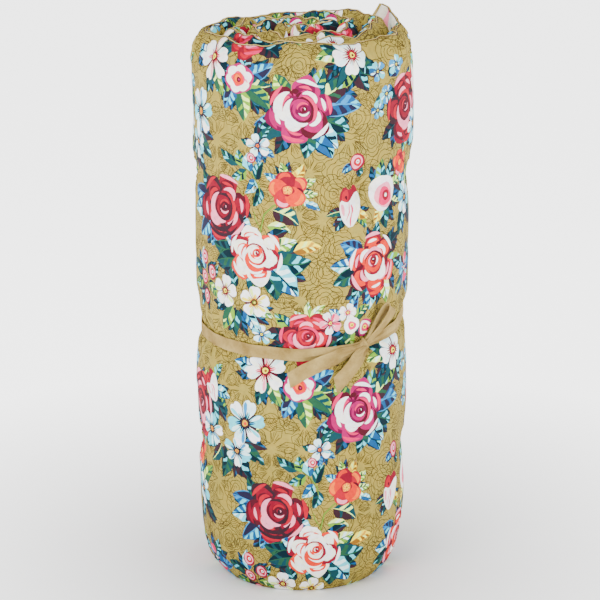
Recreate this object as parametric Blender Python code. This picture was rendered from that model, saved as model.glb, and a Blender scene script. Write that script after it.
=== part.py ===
"""Rolled kneeling mat standing on end, tied round the middle with a tape.

Two cotton panels with wadding between them are rolled up four turns.  The
spiral is described by the station number k (0 at the free outer end, rising
inwards) and by the height z.  Metres, +Z up, the roll stands on z = 0.
"""
import bpy
import bmesh
import math
from mathutils import Vector

# ------------------------------------------------------------ driving sizes
MAT_WIDTH = 0.600        # height of the standing roll
ROLL_R = 0.1160
MAT_T = 0.0279
EDGE_T = 0.0034          # thickness where the two panels meet
COVER_T = 0.0010         # cotton panel
GAP = 0.0003             # between separate pieces
WRAP_GAP = 0.0004        # between one turn and the next
TURNS = 4
SEG = 24                 # stations in one turn
PHI0 = math.radians(41)
OUTER_TAPER = 2.9        # stations over which the outer end thins out
INNER_TAPER = 5.0        # the same at the inner end
WELT_H = 0.0037          # height of the edge seam strips
EAR_RISE = 0.013         # the free corner stands above the rim
EAR_SPREAD = 0.70        # stations
SEAM_LEN = 0.0060        # width of the end seams
PINCH = 0.955            # waist under the tie
TAPE_W = 0.013
TAPE_T = 0.0014
KNOT_PHI = math.radians(-53)
KNOT_Z = 0.2800
KNOT_W = 0.017           # along the tie
KNOT_H = 0.016
TUFT_R = 0.0042
TUFT_T = 0.0014
TUFT_ROWS = (0.150, 0.450)
TUFT_STATIONS = (2.5, 6.5, 10.5, 14.5, 18.5, 22.5)
SEATED_LIFT = 0.0006     # tails and loop above the unpinched surface

LEVELS = (0.004, 0.015, 0.050, 0.245, 0.262, 0.298, 0.315, 0.565, 0.588,
          0.596)
FULLNESS = ((0.0, 0.20), (0.004, 0.20), (0.015, 0.62), (0.050, 1.0),
            (0.565, 1.0), (0.588, 0.64), (0.596, 0.20), (0.600, 0.20))
SCALE = ((0.0, 0.855), (0.004, 0.860), (0.015, 0.900), (0.050, 0.972),
         (0.245, 1.0), (0.262, PINCH), (0.298, PINCH), (0.315, 1.0),
         (0.565, 1.0), (0.588, 1.012), (0.600, 1.012))
TIE_HEIGHT = ((-180, 0.2715), (-90, 0.2715), (-53, 0.2800), (0, 0.2885),
              (60, 0.2840), (120, 0.2760), (180, 0.2715))
LAST = TURNS * SEG


# ------------------------------------------------------------------ helpers
def clear():
    for ob in list(bpy.data.objects):
        bpy.data.objects.remove(ob, do_unlink=True)


def table(rows, x):
    if x <= rows[0][0]:
        return rows[0][1]
    for (a, va), (b, vb) in zip(rows, rows[1:]):
        if x <= b:
            return va + (vb - va) * (x - a) / (b - a)
    return rows[-1][1]


def smooth(x):
    x = min(1.0, max(0.0, x))
    return x * x * (3 - 2 * x)


def thickness(k):
    grow = min(smooth(k / OUTER_TAPER), smooth((LAST - k) / INNER_TAPER))
    return EDGE_T + (MAT_T - EDGE_T) * grow


def outside(k):
    """Outer radius of the turn at station k; each turn lies in the last."""
    if k <= SEG:
        return ROLL_R - (EDGE_T + WRAP_GAP) * k / SEG
    return outside(k - SEG) - thickness(k - SEG) - WRAP_GAP


def spread(k, z):
    return EDGE_T + (thickness(k) - EDGE_T) * table(FULLNESS, z)


def middle(k):
    return outside(k) - thickness(k) / 2


def bearing(k):
    return PHI0 - 2 * math.pi * k / SEG


def lift(k, z):
    """The free outer corner rises into a small ear."""
    ear = EAR_RISE * math.exp(-(k / EAR_SPREAD) ** 2) if k < 6 else 0.0
    return z + ear * smooth((z - 0.53) / (MAT_WIDTH - 0.53))


def point(phi, radius, z):
    return Vector((radius * math.cos(phi), radius * math.sin(phi), z))


def spiral(k, z, side, inset=0.0):
    """A point on the mat: side +1 is the outer face, -1 the inner face."""
    r = middle(k) + side * (spread(k, z) / 2 - inset)
    return point(bearing(k), r * table(SCALE, z), lift(k, z))


def solid_from_grid(rows_a, rows_b, closed_u=False):
    """Closed body between two matching grids of points."""
    nu, nv = len(rows_a), len(rows_a[0])
    bm = bmesh.new()
    a = [[bm.verts.new(p) for p in row] for row in rows_a]
    b = [[bm.verts.new(p) for p in row] for row in rows_b]
    last = nu if closed_u else nu - 1
    for i in range(last):
        j = (i + 1) % nu
        for v in range(nv - 1):
            bm.faces.new((a[i][v], a[j][v], a[j][v + 1], a[i][v + 1]))
            bm.faces.new((b[i][v], b[i][v + 1], b[j][v + 1], b[j][v]))
        bm.faces.new((a[i][0], b[i][0], b[j][0], a[j][0]))
        bm.faces.new((a[i][-1], a[j][-1], b[j][-1], b[i][-1]))
    if not closed_u:
        for i in (0, nu - 1):
            for v in range(nv - 1):
                quad = (a[i][v], a[i][v + 1], b[i][v + 1], b[i][v])
                bm.faces.new(quad if i == 0 else tuple(reversed(quad)))
    return bm


MATERIALS = {
    "print": (0.46, 0.36, 0.13, 1.0, 0.85),
    "wadding": (0.85, 0.84, 0.80, 1.0, 0.95),
    "tape": (0.50, 0.38, 0.17, 1.0, 0.80),
    "thread": (0.55, 0.45, 0.24, 1.0, 0.75),
}


def finish(name, bm, slot, origin=Vector((0, 0, 0)), rounded=True):
    bmesh.ops.triangulate(bm, faces=bm.faces[:])
    bmesh.ops.recalc_face_normals(bm, faces=bm.faces[:])
    if bm.calc_volume(signed=True) < 0:
        bmesh.ops.reverse_faces(bm, faces=bm.faces[:])
    for v in bm.verts:
        v.co -= origin
    mesh = bpy.data.meshes.new(name)
    bm.to_mesh(mesh)
    bm.free()
    ob = bpy.data.objects.new(name, mesh)
    ob.location = origin
    bpy.context.scene.collection.objects.link(ob)
    for p in mesh.polygons:
        p.use_smooth = rounded
    mat = bpy.data.materials.new(name + "_" + slot)
    mat.use_nodes = True
    bsdf = mat.node_tree.nodes["Principled BSDF"]
    r, g, b, a, rough = MATERIALS[slot]
    bsdf.inputs["Base Color"].default_value = (r, g, b, a)
    bsdf.inputs["Roughness"].default_value = rough
    mesh.materials.append(mat)
    return ob


# ---------------------------------------------------------------- the mat
def panel(name, side):
    stations = range(0, LAST + 1)
    face = [[spiral(k, z, side) for z in LEVELS] for k in stations]
    back = [[spiral(k, z, side, COVER_T) for z in LEVELS] for k in stations]
    return finish(name, solid_from_grid(face, back), "print")


def wadding():
    stations = range(1, LAST)
    levels = LEVELS[1:-1]
    inset = COVER_T + GAP
    a = [[spiral(k, z, 1, inset) for z in levels] for k in stations]
    b = [[spiral(k, z, -1, inset) for z in levels] for k in stations]
    return finish("wadding_core", solid_from_grid(a, b), "wadding")


def welt(name, z_low, z_high, z_profile):
    stations = range(0, LAST + 1)

    def at(k, side, z):
        r = middle(k) + side * spread(k, z_profile) / 2
        p = point(bearing(k), r * table(SCALE, z_profile), z)
        p.z = lift(k, z)
        return p
    a = [[at(k, 1, z_low), at(k, 1, z_high)] for k in stations]
    b = [[at(k, -1, z_low), at(k, -1, z_high)] for k in stations]
    return finish(name, solid_from_grid(a, b), "print")


def end_seam(name, k_end, outward):
    """Strip closing the two panels at one end of the mat.

    It carries on past the last station, on the chord of the next facet, so
    it stays parallel to the turn that it lies against.
    """
    chord = middle(k_end) * 2 * math.pi / SEG
    gap = GAP / chord
    length = SEAM_LEN / chord
    steps = (gap, gap + length * 0.5, gap + length)
    thin = (1.0, 0.85, 0.5)

    def at(k, radius, z):
        p = point(bearing(k), radius * table(SCALE, z), z)
        p.z = lift(max(k, 0), z)
        return p

    a, b = [], []
    for step, share in zip(steps, thin):
        row_a, row_b = [], []
        for z in (0.0,) + LEVELS + (MAT_WIDTH,):
            t = spread(k_end, z)
            ends = []
            for k in (k_end, k_end + outward):
                r = middle(k) if outward > 0 else middle(k_end)
                ends.append((at(k, r + t / 2, z), at(k, r - t / 2, z)))
            top = ends[0][0].lerp(ends[1][0], step)
            low = ends[0][1].lerp(ends[1][1], step)
            if outward > 0:                 # lies against the turn outside it
                row_a.append(top)
                row_b.append(top.lerp(low, share))
            else:                           # lies on the turn inside it
                row_b.append(low)
                row_a.append(low.lerp(top, share))
        a.append(row_a)
        b.append(row_b)
    return finish(name, solid_from_grid(a, b), "print")


# ------------------------------------------------------------------ tufts
def tuft(name, k, z):
    """A stitched tuft in the middle of a facet of the outer turn."""
    k0 = math.floor(k)
    scale = table(SCALE, z)
    a = point(bearing(k0), outside(k0) * scale, z)
    b = point(bearing(k0 + 1), outside(k0 + 1) * scale, z)
    u = (a - b).normalized()
    w = Vector((0, 0, 1))
    n = u.cross(w).normalized()
    base = a + (b - a) * (k - k0) + n * (GAP + 0.0001)
    rings = ((1.0, 0.0), (1.0, 0.5), (0.55, 1.0))
    bm = bmesh.new()
    sides = 8
    loops = []
    for share, rise in rings:
        loops.append([bm.verts.new(base + n * TUFT_T * rise
                                   + u * TUFT_R * share * math.cos(t)
                                   + w * TUFT_R * share * math.sin(t))
                      for t in (2 * math.pi * i / sides for i in range(sides))])
    for lo, hi in zip(loops, loops[1:]):
        for i in range(sides):
            j = (i + 1) % sides
            bm.faces.new((lo[i], lo[j], hi[j], hi[i]))
    bm.faces.new(list(reversed(loops[0])))
    bm.faces.new(loops[-1])
    return finish(name, bm, "thread")


# -------------------------------------------------------------------- tie
def station_of(phi):
    return ((PHI0 - phi) / (2 * math.pi) * SEG) % SEG


def roll_radius(phi):
    """Outside radius of the whole roll at a bearing, end seam included."""
    best = outside(station_of(phi))
    past = (phi - PHI0 + math.pi) % (2 * math.pi) - math.pi
    if 0 <= past <= 1.6 * SEAM_LEN / ROLL_R:
        best = ROLL_R
    return best


def resting_radius(phi):
    window = [phi + math.radians(d) for d in (-5, -2.5, 0, 2.5, 5)]
    return max(roll_radius(p) for p in window)


def tie_height(phi):
    deg = (math.degrees(phi) + 180) % 360 - 180
    return table(TIE_HEIGHT, deg)


def tie_band():
    half = (KNOT_W / 2 + GAP) / (ROLL_R * PINCH)
    start = KNOT_PHI - half
    end = KNOT_PHI + half - 2 * math.pi
    count = 60
    a, b = [], []
    for i in range(count + 1):
        phi = start + (end - start) * i / count
        z = tie_height(phi)
        r = resting_radius(phi) * PINCH + 0.0004
        a.append([point(phi, r + TAPE_T, z - TAPE_W / 2),
                  point(phi, r + TAPE_T, z + TAPE_W / 2)])
        b.append([point(phi, r, z - TAPE_W / 2),
                  point(phi, r, z + TAPE_W / 2)])
    return finish("tie_band", solid_from_grid(a, b), "tape")


def tie_knot():
    """Flattened pillow filling the opening of the band."""
    low = resting_radius(KNOT_PHI) * PINCH + 0.0005
    high = resting_radius(KNOT_PHI) + 0.0058
    nu, nv = 7, 5
    half_angle = KNOT_W / 2 / (ROLL_R * PINCH)
    front, back = [], []
    for i in range(nu):
        u = -1 + 2 * i / (nu - 1)
        row_f, row_b = [], []
        for j in range(nv):
            v = -1 + 2 * j / (nv - 1)
            phi = KNOT_PHI + u * half_angle
            z = KNOT_Z + v * KNOT_H / 2 * (1 - 0.10 * u * u)
            bulge = (1 - 0.42 * u ** 4) * (1 - 0.42 * v ** 4)
            row_f.append(point(phi, low + (high - low) * bulge, z))
            row_b.append(point(phi, low, z))
        front.append(row_f)
        back.append(row_b)
    return finish("tie_knot", solid_from_grid(front, back), "tape")


def tangent_frame(phi):
    n = Vector((math.cos(phi), math.sin(phi), 0))
    u = Vector((-math.sin(phi), math.cos(phi), 0))
    return n, u, Vector((0, 0, 1))


def laid(along, across, rise, start_u, start_z, slope, clearance):
    """Point on a tape laid over the roll from the knot.

    along and across are measured on the surface, slope is the direction in
    the unrolled plane (radians from the +bearing direction).
    """
    du = along * math.cos(slope) - across * math.sin(slope)
    dz = along * math.sin(slope) + across * math.cos(slope)
    r0 = resting_radius(KNOT_PHI)
    phi = KNOT_PHI + (start_u + du) / r0
    r = resting_radius(phi) + clearance + rise
    return point(phi, r, KNOT_Z + start_z + dz)


def cut_back(across, slope, edge):
    """How far back a tape starts so that its end runs along the knot's edge."""
    if edge == "side":
        return across * math.tan(slope)
    return -across * math.cos(slope) / math.sin(slope)


def hinge_axis(anchor, slope, edge):
    """Axis along the knot's edge, lifting the piece off the roll."""
    phi = math.atan2(anchor.y, anchor.x)
    n, u, w = tangent_frame(phi)
    if edge == "side":
        away = u if math.cos(slope) > 0 else -u
    else:
        away = w if math.sin(slope) > 0 else -w
    return away.cross(n).normalized()


def tail(name, length, start_u, start_z, slope, clearance, end_cut, edge):
    count = 10
    a, b = [], []
    for i in range(count + 1):
        rows = ([], [])
        for v in (-1, 0, 1):
            across = v * TAPE_W / 2
            back = cut_back(across, slope, edge)
            along = back + (length + end_cut * v - back) * i / count
            for which, rise in ((0, TAPE_T), (1, 0.0)):
                rows[which].append(laid(along, across, rise, start_u, start_z,
                                        slope, clearance))
        a.append(rows[0])
        b.append(rows[1])
    anchor = laid(0, 0, TAPE_T / 2, start_u, start_z, slope, clearance)
    ob = finish(name, solid_from_grid(a, b), "tape", origin=anchor)
    return ob, anchor, hinge_axis(anchor, slope, edge)


def bow_loop(name, length, start_u, start_z, slope, clearance, edge):
    """Flattened ring of tape: out along the roll, folded, back to the knot."""
    path = []
    steps = 6
    rise = 0.0052
    for i in range(steps + 1):                       # lower run, outwards
        s = i / steps
        path.append((length * 0.94 * s, 0.0006 * math.sin(math.pi * s)))
    for deg in (-45, 0, 45):                         # the fold
        t = math.radians(deg)
        path.append((length * 0.94 + 0.06 * length * math.cos(t) + 0.0004,
                     rise / 2 + rise / 2 * math.sin(t)))
    for i in range(steps + 1):                       # upper run, back
        s = 1 - i / steps
        path.append((length * 0.94 * s,
                     rise * (0.45 + 0.55 * math.sin(math.pi * 0.5 *
                                                     min(1, s * 1.6)))))
    n = len(path)
    outer, inner = [], []
    for i, (x, y) in enumerate(path):
        x0, y0 = path[i - 1]
        x1, y1 = path[(i + 1) % n]
        tx, ty = x1 - x0, y1 - y0
        length_t = math.hypot(tx, ty)
        nx, ny = ty / length_t, -tx / length_t       # outward of a ccw ring
        row_o, row_i = [], []
        for v in (-1, 1):
            across = v * TAPE_W / 2
            back = cut_back(across, slope, edge) * (1 - x / length)
            row_o.append(laid(x + back, across, y + 0.0012, start_u, start_z,
                              slope, clearance))
            row_i.append(laid(x + back - nx * 0.0011, across,
                              y + 0.0012 - ny * 0.0011, start_u, start_z,
                              slope, clearance))
        outer.append(row_o)
        inner.append(row_i)
    anchor = laid(0, 0, rise * 0.35, start_u, start_z, slope, clearance)
    ob = finish(name, solid_from_grid(outer, inner, closed_u=True), "tape",
                origin=anchor)
    return ob, anchor, hinge_axis(anchor, slope, edge)


def centre_on_floor(obs):
    """Middle of the overall box over x = y = 0."""
    lo = Vector((1e9, 1e9, 1e9))
    hi = -lo
    for ob in obs:
        for v in ob.data.vertices:
            p = v.co + ob.location
            for i in range(3):
                lo[i] = min(lo[i], p[i])
                hi[i] = max(hi[i], p[i])
    shift = Vector((-(lo.x + hi.x) / 2, -(lo.y + hi.y) / 2, -lo.z))
    shift = Vector((round(shift.x, 7), round(shift.y, 7), round(shift.z, 7)))
    for ob in obs:
        ob.location = ob.location + shift
        if ob.location.length < 0.05:                # fixed pieces
            for v in ob.data.vertices:
                v.co += ob.location
            ob.location = (0, 0, 0)
    return shift, lo + shift, hi + shift


def main():
    clear()
    obs = [wadding(), panel("outer_cover", 1), panel("inner_cover", -1),
           welt("top_seam_welt", MAT_WIDTH - WELT_H, MAT_WIDTH, 0.600),
           welt("bottom_seam_welt", 0.0, WELT_H, 0.0),
           end_seam("outer_end_seam", 0, -1),
           end_seam("inner_end_seam", LAST, 1)]
    rows = {TUFT_ROWS[0]: "low", TUFT_ROWS[1]: "high"}
    for z in TUFT_ROWS:
        for i, k in enumerate(TUFT_STATIONS):
            obs.append(tuft("tuft_%s_%d" % (rows[z], i + 1), k, z))
    obs.append(tie_band())
    obs.append(tie_knot())
    side = KNOT_W / 2 + 0.0012
    down = KNOT_H / 2 + 0.0012
    long_tail = tail("tie_tail_long", 0.078, -side, -0.001,
                     math.radians(180 + 28), SEATED_LIFT, 0.004, "side")
    short_tail = tail("tie_tail_short", 0.052, -0.0035, -down,
                      math.radians(180 + 62), SEATED_LIFT + 0.0021, -0.003,
                      "level")
    loop = bow_loop("tie_loop", 0.036, 0.0035, down, math.radians(60),
                    SEATED_LIFT, "level")
    moving = {"tie_tail_long": long_tail, "tie_tail_short": short_tail,
              "tie_loop": loop}
    obs += [m[0] for m in moving.values()]
    shift, lo, hi = centre_on_floor(obs)
    print("overall", [round(v, 5) for v in lo], [round(v, 5) for v in hi])
    print("shift", [round(v, 6) for v in shift])
    for name, (ob, anchor, axis) in moving.items():
        place = anchor + shift
        print("joint", name, [round(v, 6) for v in place],
              [round(v, 6) for v in axis])
    total = 0
    for ob in obs:
        total += len(ob.data.polygons)
    print("pieces", len(obs), "faces", total)
    k = 6
    foot = (point(bearing(k), middle(k), 0) +
            point(bearing(k + 1), middle(k + 1), 0)) / 2 * table(SCALE, 0)
    print("foot", [round(v, 6) for v in foot + shift])


main()
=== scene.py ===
import bpy
import math
import random
import numpy as np
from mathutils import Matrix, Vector
from mathutils.geometry import delaunay_2d_cdt


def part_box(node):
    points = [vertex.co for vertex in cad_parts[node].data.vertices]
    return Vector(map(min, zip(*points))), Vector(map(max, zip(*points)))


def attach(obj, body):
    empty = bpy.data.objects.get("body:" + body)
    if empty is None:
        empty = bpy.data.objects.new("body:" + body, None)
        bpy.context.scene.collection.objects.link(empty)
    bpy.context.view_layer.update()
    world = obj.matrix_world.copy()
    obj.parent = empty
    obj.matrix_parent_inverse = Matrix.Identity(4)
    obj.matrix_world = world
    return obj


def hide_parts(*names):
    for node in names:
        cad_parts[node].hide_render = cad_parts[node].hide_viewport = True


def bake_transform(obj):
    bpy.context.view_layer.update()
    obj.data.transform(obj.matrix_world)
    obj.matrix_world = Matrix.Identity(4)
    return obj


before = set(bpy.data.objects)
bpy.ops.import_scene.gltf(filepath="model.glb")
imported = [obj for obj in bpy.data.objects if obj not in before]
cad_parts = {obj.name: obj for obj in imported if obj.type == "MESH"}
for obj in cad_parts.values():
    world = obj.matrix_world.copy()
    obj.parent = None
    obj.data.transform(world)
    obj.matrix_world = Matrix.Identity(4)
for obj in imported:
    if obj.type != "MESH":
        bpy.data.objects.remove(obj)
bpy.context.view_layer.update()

TAU = 2 * math.pi

# ---------------------------------------------------------------- the roll
# The same spiral as the CAD model, as smooth functions of the station k
# (24 to a turn, 0 at the free outer end, rising inwards).
SEG, TURNS = 24, 4
LAST = SEG * TURNS
MAT_W = 0.600
ROLL_R = 0.1160
MAT_T = 0.0279
EDGE_T = 0.0034
WRAP_GAP = 0.0004
PHI0 = math.radians(41)
STEP = TAU / SEG
AXIS = np.array([-0.000940, 0.002130])
KNOT_PHI = math.radians(-53)
TIE_ROWS = ((-180, 0.2805), (-135, 0.2750), (-90, 0.2732), (-53, 0.2800),
            (-20, 0.2900), (0, 0.2945), (60, 0.2935), (120, 0.2860),
            (180, 0.2805))
TUFTS = sorted(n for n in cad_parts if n.startswith("tuft_"))


def smooth(x):
    x = np.clip(x, 0.0, 1.0)
    return x * x * (3 - 2 * x)


def thickness(k):
    grow = np.minimum(smooth(k / 2.9), smooth((LAST - k) / 5.0))
    return EDGE_T + (MAT_T - EDGE_T) * grow


def outside(k):
    k = np.asarray(k, float)
    turn = np.clip(np.ceil(k / SEG - 1e-9) - 1, 0, TURNS)
    r = ROLL_R - (EDGE_T + WRAP_GAP) * (k - turn * SEG) / SEG
    for n in range(1, TURNS + 1):
        kk = k - n * SEG
        r = r - np.where(turn >= n, thickness(kk) + WRAP_GAP, 0.0)
    return r


def middle(k):
    return outside(k) - thickness(k) / 2


def noise1(x, seed, octaves=3):
    """Smooth repeatable noise of one variable, about -1 to 1."""
    rng = np.random.RandomState(seed)
    total = np.zeros_like(np.asarray(x, float))
    amp, norm = 1.0, 0.0
    for o in range(octaves):
        f = 2.0 ** o
        for _ in range(3):
            total = total + amp * np.sin(x * f * rng.uniform(0.6, 1.5) +
                                         rng.uniform(0, TAU))
        norm += amp * 1.7
        amp *= 0.55
    return total / norm


def table(rows, x):
    return np.interp(x, [r[0] for r in rows], [r[1] for r in rows])


# profile across the mat: u runs over the face from the bottom seam to the top
def build_profile():
    wb, wt, h = 0.045, 0.027, (MAT_T - EDGE_T) / 2
    t = np.linspace(0, math.pi / 2, 60)
    nb, nt = 1.6, 2.1
    e1 = np.sin(t) ** (2 / nb)
    z1 = wb * (1 - np.cos(t) ** (2 / nb))
    e2 = np.sin(t[::-1]) ** (2 / nt)
    z2 = MAT_W - wt * (1 - np.cos(t[::-1]) ** (2 / nt))
    z = np.concatenate([z1, z2])
    e = np.concatenate([e1, e2])
    d = np.hypot(np.diff(z), np.diff(e) * h)
    u = np.concatenate([[0], np.cumsum(d)])
    return u, z, e


PU, PZ, PE = build_profile()
FACE_W = float(PU[-1])
U_OFF = float(np.interp(0.3, PZ, PU) - 0.3)

# arc length along the outer face for each station, for the print
KK = np.linspace(0, LAST, 1921)
AA = np.concatenate([[0], np.cumsum((outside(KK[1:]) + outside(KK[:-1])) / 2
                                    * np.diff(KK) * STEP)])
A_TURN = float(np.interp(SEG, KK, AA))


def k_of(a):
    return np.interp(a, AA, KK)


def a_of(k):
    return np.interp(k, KK, AA)


A_FRONT = float(a_of((PHI0 + math.pi / 2) / STEP))


def body_scale(z):
    """How the whole roll narrows at its foot, flares and closes at its rim."""
    s = 1.0 - 0.092 * np.exp(-(np.abs(z) / 0.058) ** 1.35)
    s = s - 0.050 * np.exp(-(np.abs(z) / 0.010) ** 1.5)
    s = s + 0.024 * smooth((z - 0.36) / 0.13)
    s = s - 0.022 * smooth((z - 0.574) / 0.034)
    return s


def tie_z(phi):
    deg = (np.degrees(phi) + 180) % 360 - 180
    return table(TIE_ROWS, deg)


TUFT_AT = []
for name in TUFTS:
    lo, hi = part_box(name)
    c = [(lo[i] + hi[i]) / 2 for i in range(3)]
    p = math.atan2(c[1] - AXIS[1], c[0] - AXIS[0])
    TUFT_AT.append((name, ((PHI0 - p) / STEP) % SEG, c[2]))

SIM = None      # kept empty: no cloth simulation is run, relief() shapes the outer turn


def crease(x, seed):
    """Sharp-bottomed folds of uneven width, about -1 to 1."""
    w = x + 0.8 * noise1(x * 0.31, seed, 2)
    return 1 - 2 * np.abs(np.sin(w * 0.5)) ** 0.75


KNOT_Z = 0.2800


def relief(k, z):
    """Outward movement of the outer face, metres."""
    phi = PHI0 - k * STEP
    zt = tie_z(phi)
    outer = 1 - smooth((k - SEG) / 2.0)
    a = k * STEP * ROLL_R
    d = np.zeros_like(z)
    # waist under the tie, with gathers running away from it
    away = z - zt
    waist = (-0.0058 * np.exp(-(away / 0.0125) ** 2)
             - 0.0034 * np.exp(-(away / 0.042) ** 2))
    reach = 0.020 + 0.016 * (0.5 + 0.5 * noise1(a * 60, 13, 1))
    fold = crease(a * 330 + 5 * away / 0.05, 11) * \
        np.exp(-(np.abs(away) / reach) ** 1.4)
    soft = noise1(a * 120 + z * 14, 12, 2) * np.exp(-(away / 0.06) ** 2)
    d = d + waist + 0.0012 * fold + 0.0013 * soft
    # folds fanning out from the knot
    dk = ((phi - KNOT_PHI + math.pi) % TAU - math.pi) * ROLL_R
    dz0 = z - KNOT_Z
    rk = np.hypot(dk, dz0) + 1e-9
    tk = np.arctan2(dz0, dk)
    d = d + 0.0014 * crease(tk * 9.0 + 1.0, 14) * \
        np.exp(-((rk - 0.026) / 0.020) ** 2)
    # valley along the tuft rows, fuller between them
    for row in (0.15, 0.45):
        d = d - 0.0019 * np.exp(-(np.abs(z - row) / 0.016) ** 1.6) * \
            (0.62 + 0.38 * np.cos(((phi - math.radians(3.5)) * 6)))
        rip = crease(a * 300 + 40 * (z - row), 15) * \
            np.exp(-(np.abs(z - row) / 0.016) ** 1.5)
        d = d + 0.0006 * rip
    for _, kt, zz in TUFT_AT:
        da = ((k - kt + SEG / 2) % SEG - SEG / 2) * STEP * ROLL_R
        dz = z - zz
        r = np.sqrt(da * da + dz * dz) + 1e-9
        ang = np.arctan2(dz, da)
        d = d - 0.0060 * np.exp(-(r / 0.012) ** 1.3)
        d = d - 0.0016 * np.exp(-(r / 0.038) ** 2)
        d = d + 0.0012 * crease(ang * 7 + kt, 16) * \
            np.exp(-((r - 0.018) / 0.013) ** 2)
    # broad unevenness of the wadding
    d = d + 0.0015 * noise1(a * 38 + 2.2 * np.sin(z * 21), 21, 2) * \
        np.sin(z * 17 + noise1(a * 12, 22, 1))
    d = d + 0.0006 * noise1(a * 95 + 3 * np.sin(z * 60), 23, 2) * \
        noise1(z * 70 + 2 * np.sin(a * 31), 24, 2)
    return d * outer


def edge_gather(k, u):
    """Small puckers where the panels are drawn into the long seams."""
    a = a_of(k)
    top = np.clip((FACE_W - u) / 0.055, 0, 1)
    low = np.clip(u / 0.050, 0, 1)
    prof_t = np.where(top < 1, np.sin(np.clip(top, 0, 1) * math.pi) *
                      (1 - top) * 1.6, 0)
    prof_l = np.where(low < 1, np.sin(np.clip(low, 0, 1) * math.pi) *
                      (1 - low) * 1.6, 0)
    ripple = 0.8 * crease(a * 410, 31) + 0.7 * crease(a * 210, 32)
    return 0.0015 * ripple * (prof_t + 0.8 * prof_l)


RIM = ((0, 0.0000), (3.6, -0.0005), (9.6, -0.0010), (13, -0.0020),
       (15.6, -0.0025), (19, 0.0005), (21.6, 0.0030), (24, 0.0060),
       (27, 0.0030), (33, -0.0030), (39, 0.0000), (45, 0.0035),
       (48, 0.0060), (52, 0.0010), (60, -0.0020), (66, 0.0025), (72, 0.0045),
       (80, 0.0010), (88, 0.0020), (96, 0.0000))


def mat_xyz(k, u, side, inset=0.0):
    """Point of the mat's outer (+1) or inner (-1) face."""
    k = np.asarray(k, float)
    u = np.asarray(u, float)
    z = np.interp(u, PU, PZ)
    e = np.interp(u, PU, PE)
    station = k
    k = k - 0.80 * np.exp(-(k / 1.3) ** 2) * \
        np.exp(-((z - 0.568) / 0.026) ** 2)
    half = EDGE_T / 2 + (thickness(k) - EDGE_T) / 2 * e
    mid = middle(k)
    face_out = mid + half + relief(k, z) * np.clip(e * 1.2, 0, 1)
    # where the mat is thin its inner face is pushed in with the outer one
    face_in = np.minimum(mid - half, face_out - 0.9 * EDGE_T)
    ins = np.minimum(inset, 0.31 * (face_out - face_in))
    r = face_out - ins if side > 0 else face_in + ins
    r = r + side * edge_gather(k, u)
    # the crest wanders a little from side to side and up and down
    near = np.exp(-((MAT_W - z) / 0.030) ** 2)
    low = np.exp(-(z / 0.020) ** 2)
    arc = a_of(k)
    wander = 0.0038 * noise1(k * 1.5, 41, 2) + 0.0022 * crease(arc * 96, 42) \
        + 0.0005 * noise1(arc * 330, 45, 2)
    calm = smooth((r - 0.004) / 0.02)
    r = r + near * wander * calm
    r = r * body_scale(z)
    rim = table(RIM, k) + 0.0029 * noise1(k * 1.9, 43, 2) + \
        0.0009 * crease(arc * 120, 44) + 0.0003 * noise1(arc * 420, 46, 1)
    ear = 0.0135 * np.exp(-(station / 0.95) ** 2)
    zz = z + rim * smooth((z - 0.50) / 0.10) + ear * smooth((z - 0.55) / 0.05)
    zz = zz + 0.0
    phi = PHI0 - k * STEP
    # the free corner leans outwards
    r = r + 0.0045 * np.exp(-(station / 1.1) ** 2) * \
        smooth((z - 0.55) / 0.05)
    return np.stack([AXIS[0] + r * np.cos(phi), AXIS[1] + r * np.sin(phi),
                     zz], -1)


def mat_normal(k, u, side):
    dk, du = 0.02, 0.0004
    ua = np.clip(u - du, 0, FACE_W)
    ub = np.clip(u + du, 0, FACE_W)
    ka = np.clip(k - dk, 0, LAST)
    kb = np.clip(k + dk, 0, LAST)
    tk = mat_xyz(kb, u, side) - mat_xyz(ka, u, side)
    tu = mat_xyz(k, ub, side) - mat_xyz(k, ua, side)
    n = np.cross(tu, tk) * side
    n /= np.linalg.norm(n, axis=-1, keepdims=True) + 1e-12
    return n


def skin(phi, z):
    """Outermost face of the roll at a bearing and height, and its normal."""
    k = ((PHI0 - np.asarray(phi, float)) / STEP) % SEG
    u = np.asarray(z, float) + U_OFF
    return mat_xyz(k, u, 1), mat_normal(k, u, 1)


# ------------------------------------------------------------ the print art
# Everything is drawn in millimetres on the unrolled cloth: X to the right
# as seen from the front, Z up, and later painters cover earlier ones.
def rgb(r, g, b):
    out = []
    for v in (r, g, b):
        v /= 255.0
        out.append(v / 12.92 if v <= 0.04045 else ((v + 0.055) / 1.055) ** 2.4)
    return tuple(out)


C = {
    "ground": rgb(160, 142, 64),
    "line": rgb(72, 58, 24),
    "plum": rgb(52, 28, 38),
    "maroon": rgb(82, 16, 33),
    "crimson": rgb(138, 3, 38),
    "red": rgb(189, 0, 38),
    "coral": rgb(230, 44, 10),
    "orange": rgb(255, 110, 0),
    "pink": rgb(232, 16, 94),
    "lpink": rgb(255, 149, 173),
    "blush": rgb(255, 255, 236),
    "cream": rgb(255, 255, 252),
    "magenta": rgb(175, 0, 95),
    "deepmag": rgb(111, 7, 63),
    "teal": rgb(12, 66, 74),
    "dteal": rgb(0, 31, 43),
    "green": rgb(30, 84, 56),
    "lime": rgb(116, 168, 28),
    "pale": rgb(226, 255, 125),
    "aqua": rgb(86, 212, 230),
    "ice": rgb(222, 255, 255),
    "sky": rgb(28, 140, 200),
    "blue": rgb(12, 82, 138),
    "navy": rgb(34, 30, 58),
    "yellow": rgb(255, 233, 0),
    "gold": rgb(215, 159, 0),
    "ochre": rgb(141, 93, 5),
    "white": rgb(255, 255, 255),
    "olive": rgb(85, 106, 33),
    "tape": rgb(180, 154, 94),
    "taped": rgb(138, 112, 60),
    # dark maroon for the flanks of the piping: painted shade of the seam
    "welt_shade": rgb(74, 30, 26),
    "weltc": rgb(220, 194, 124),
}


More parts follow.
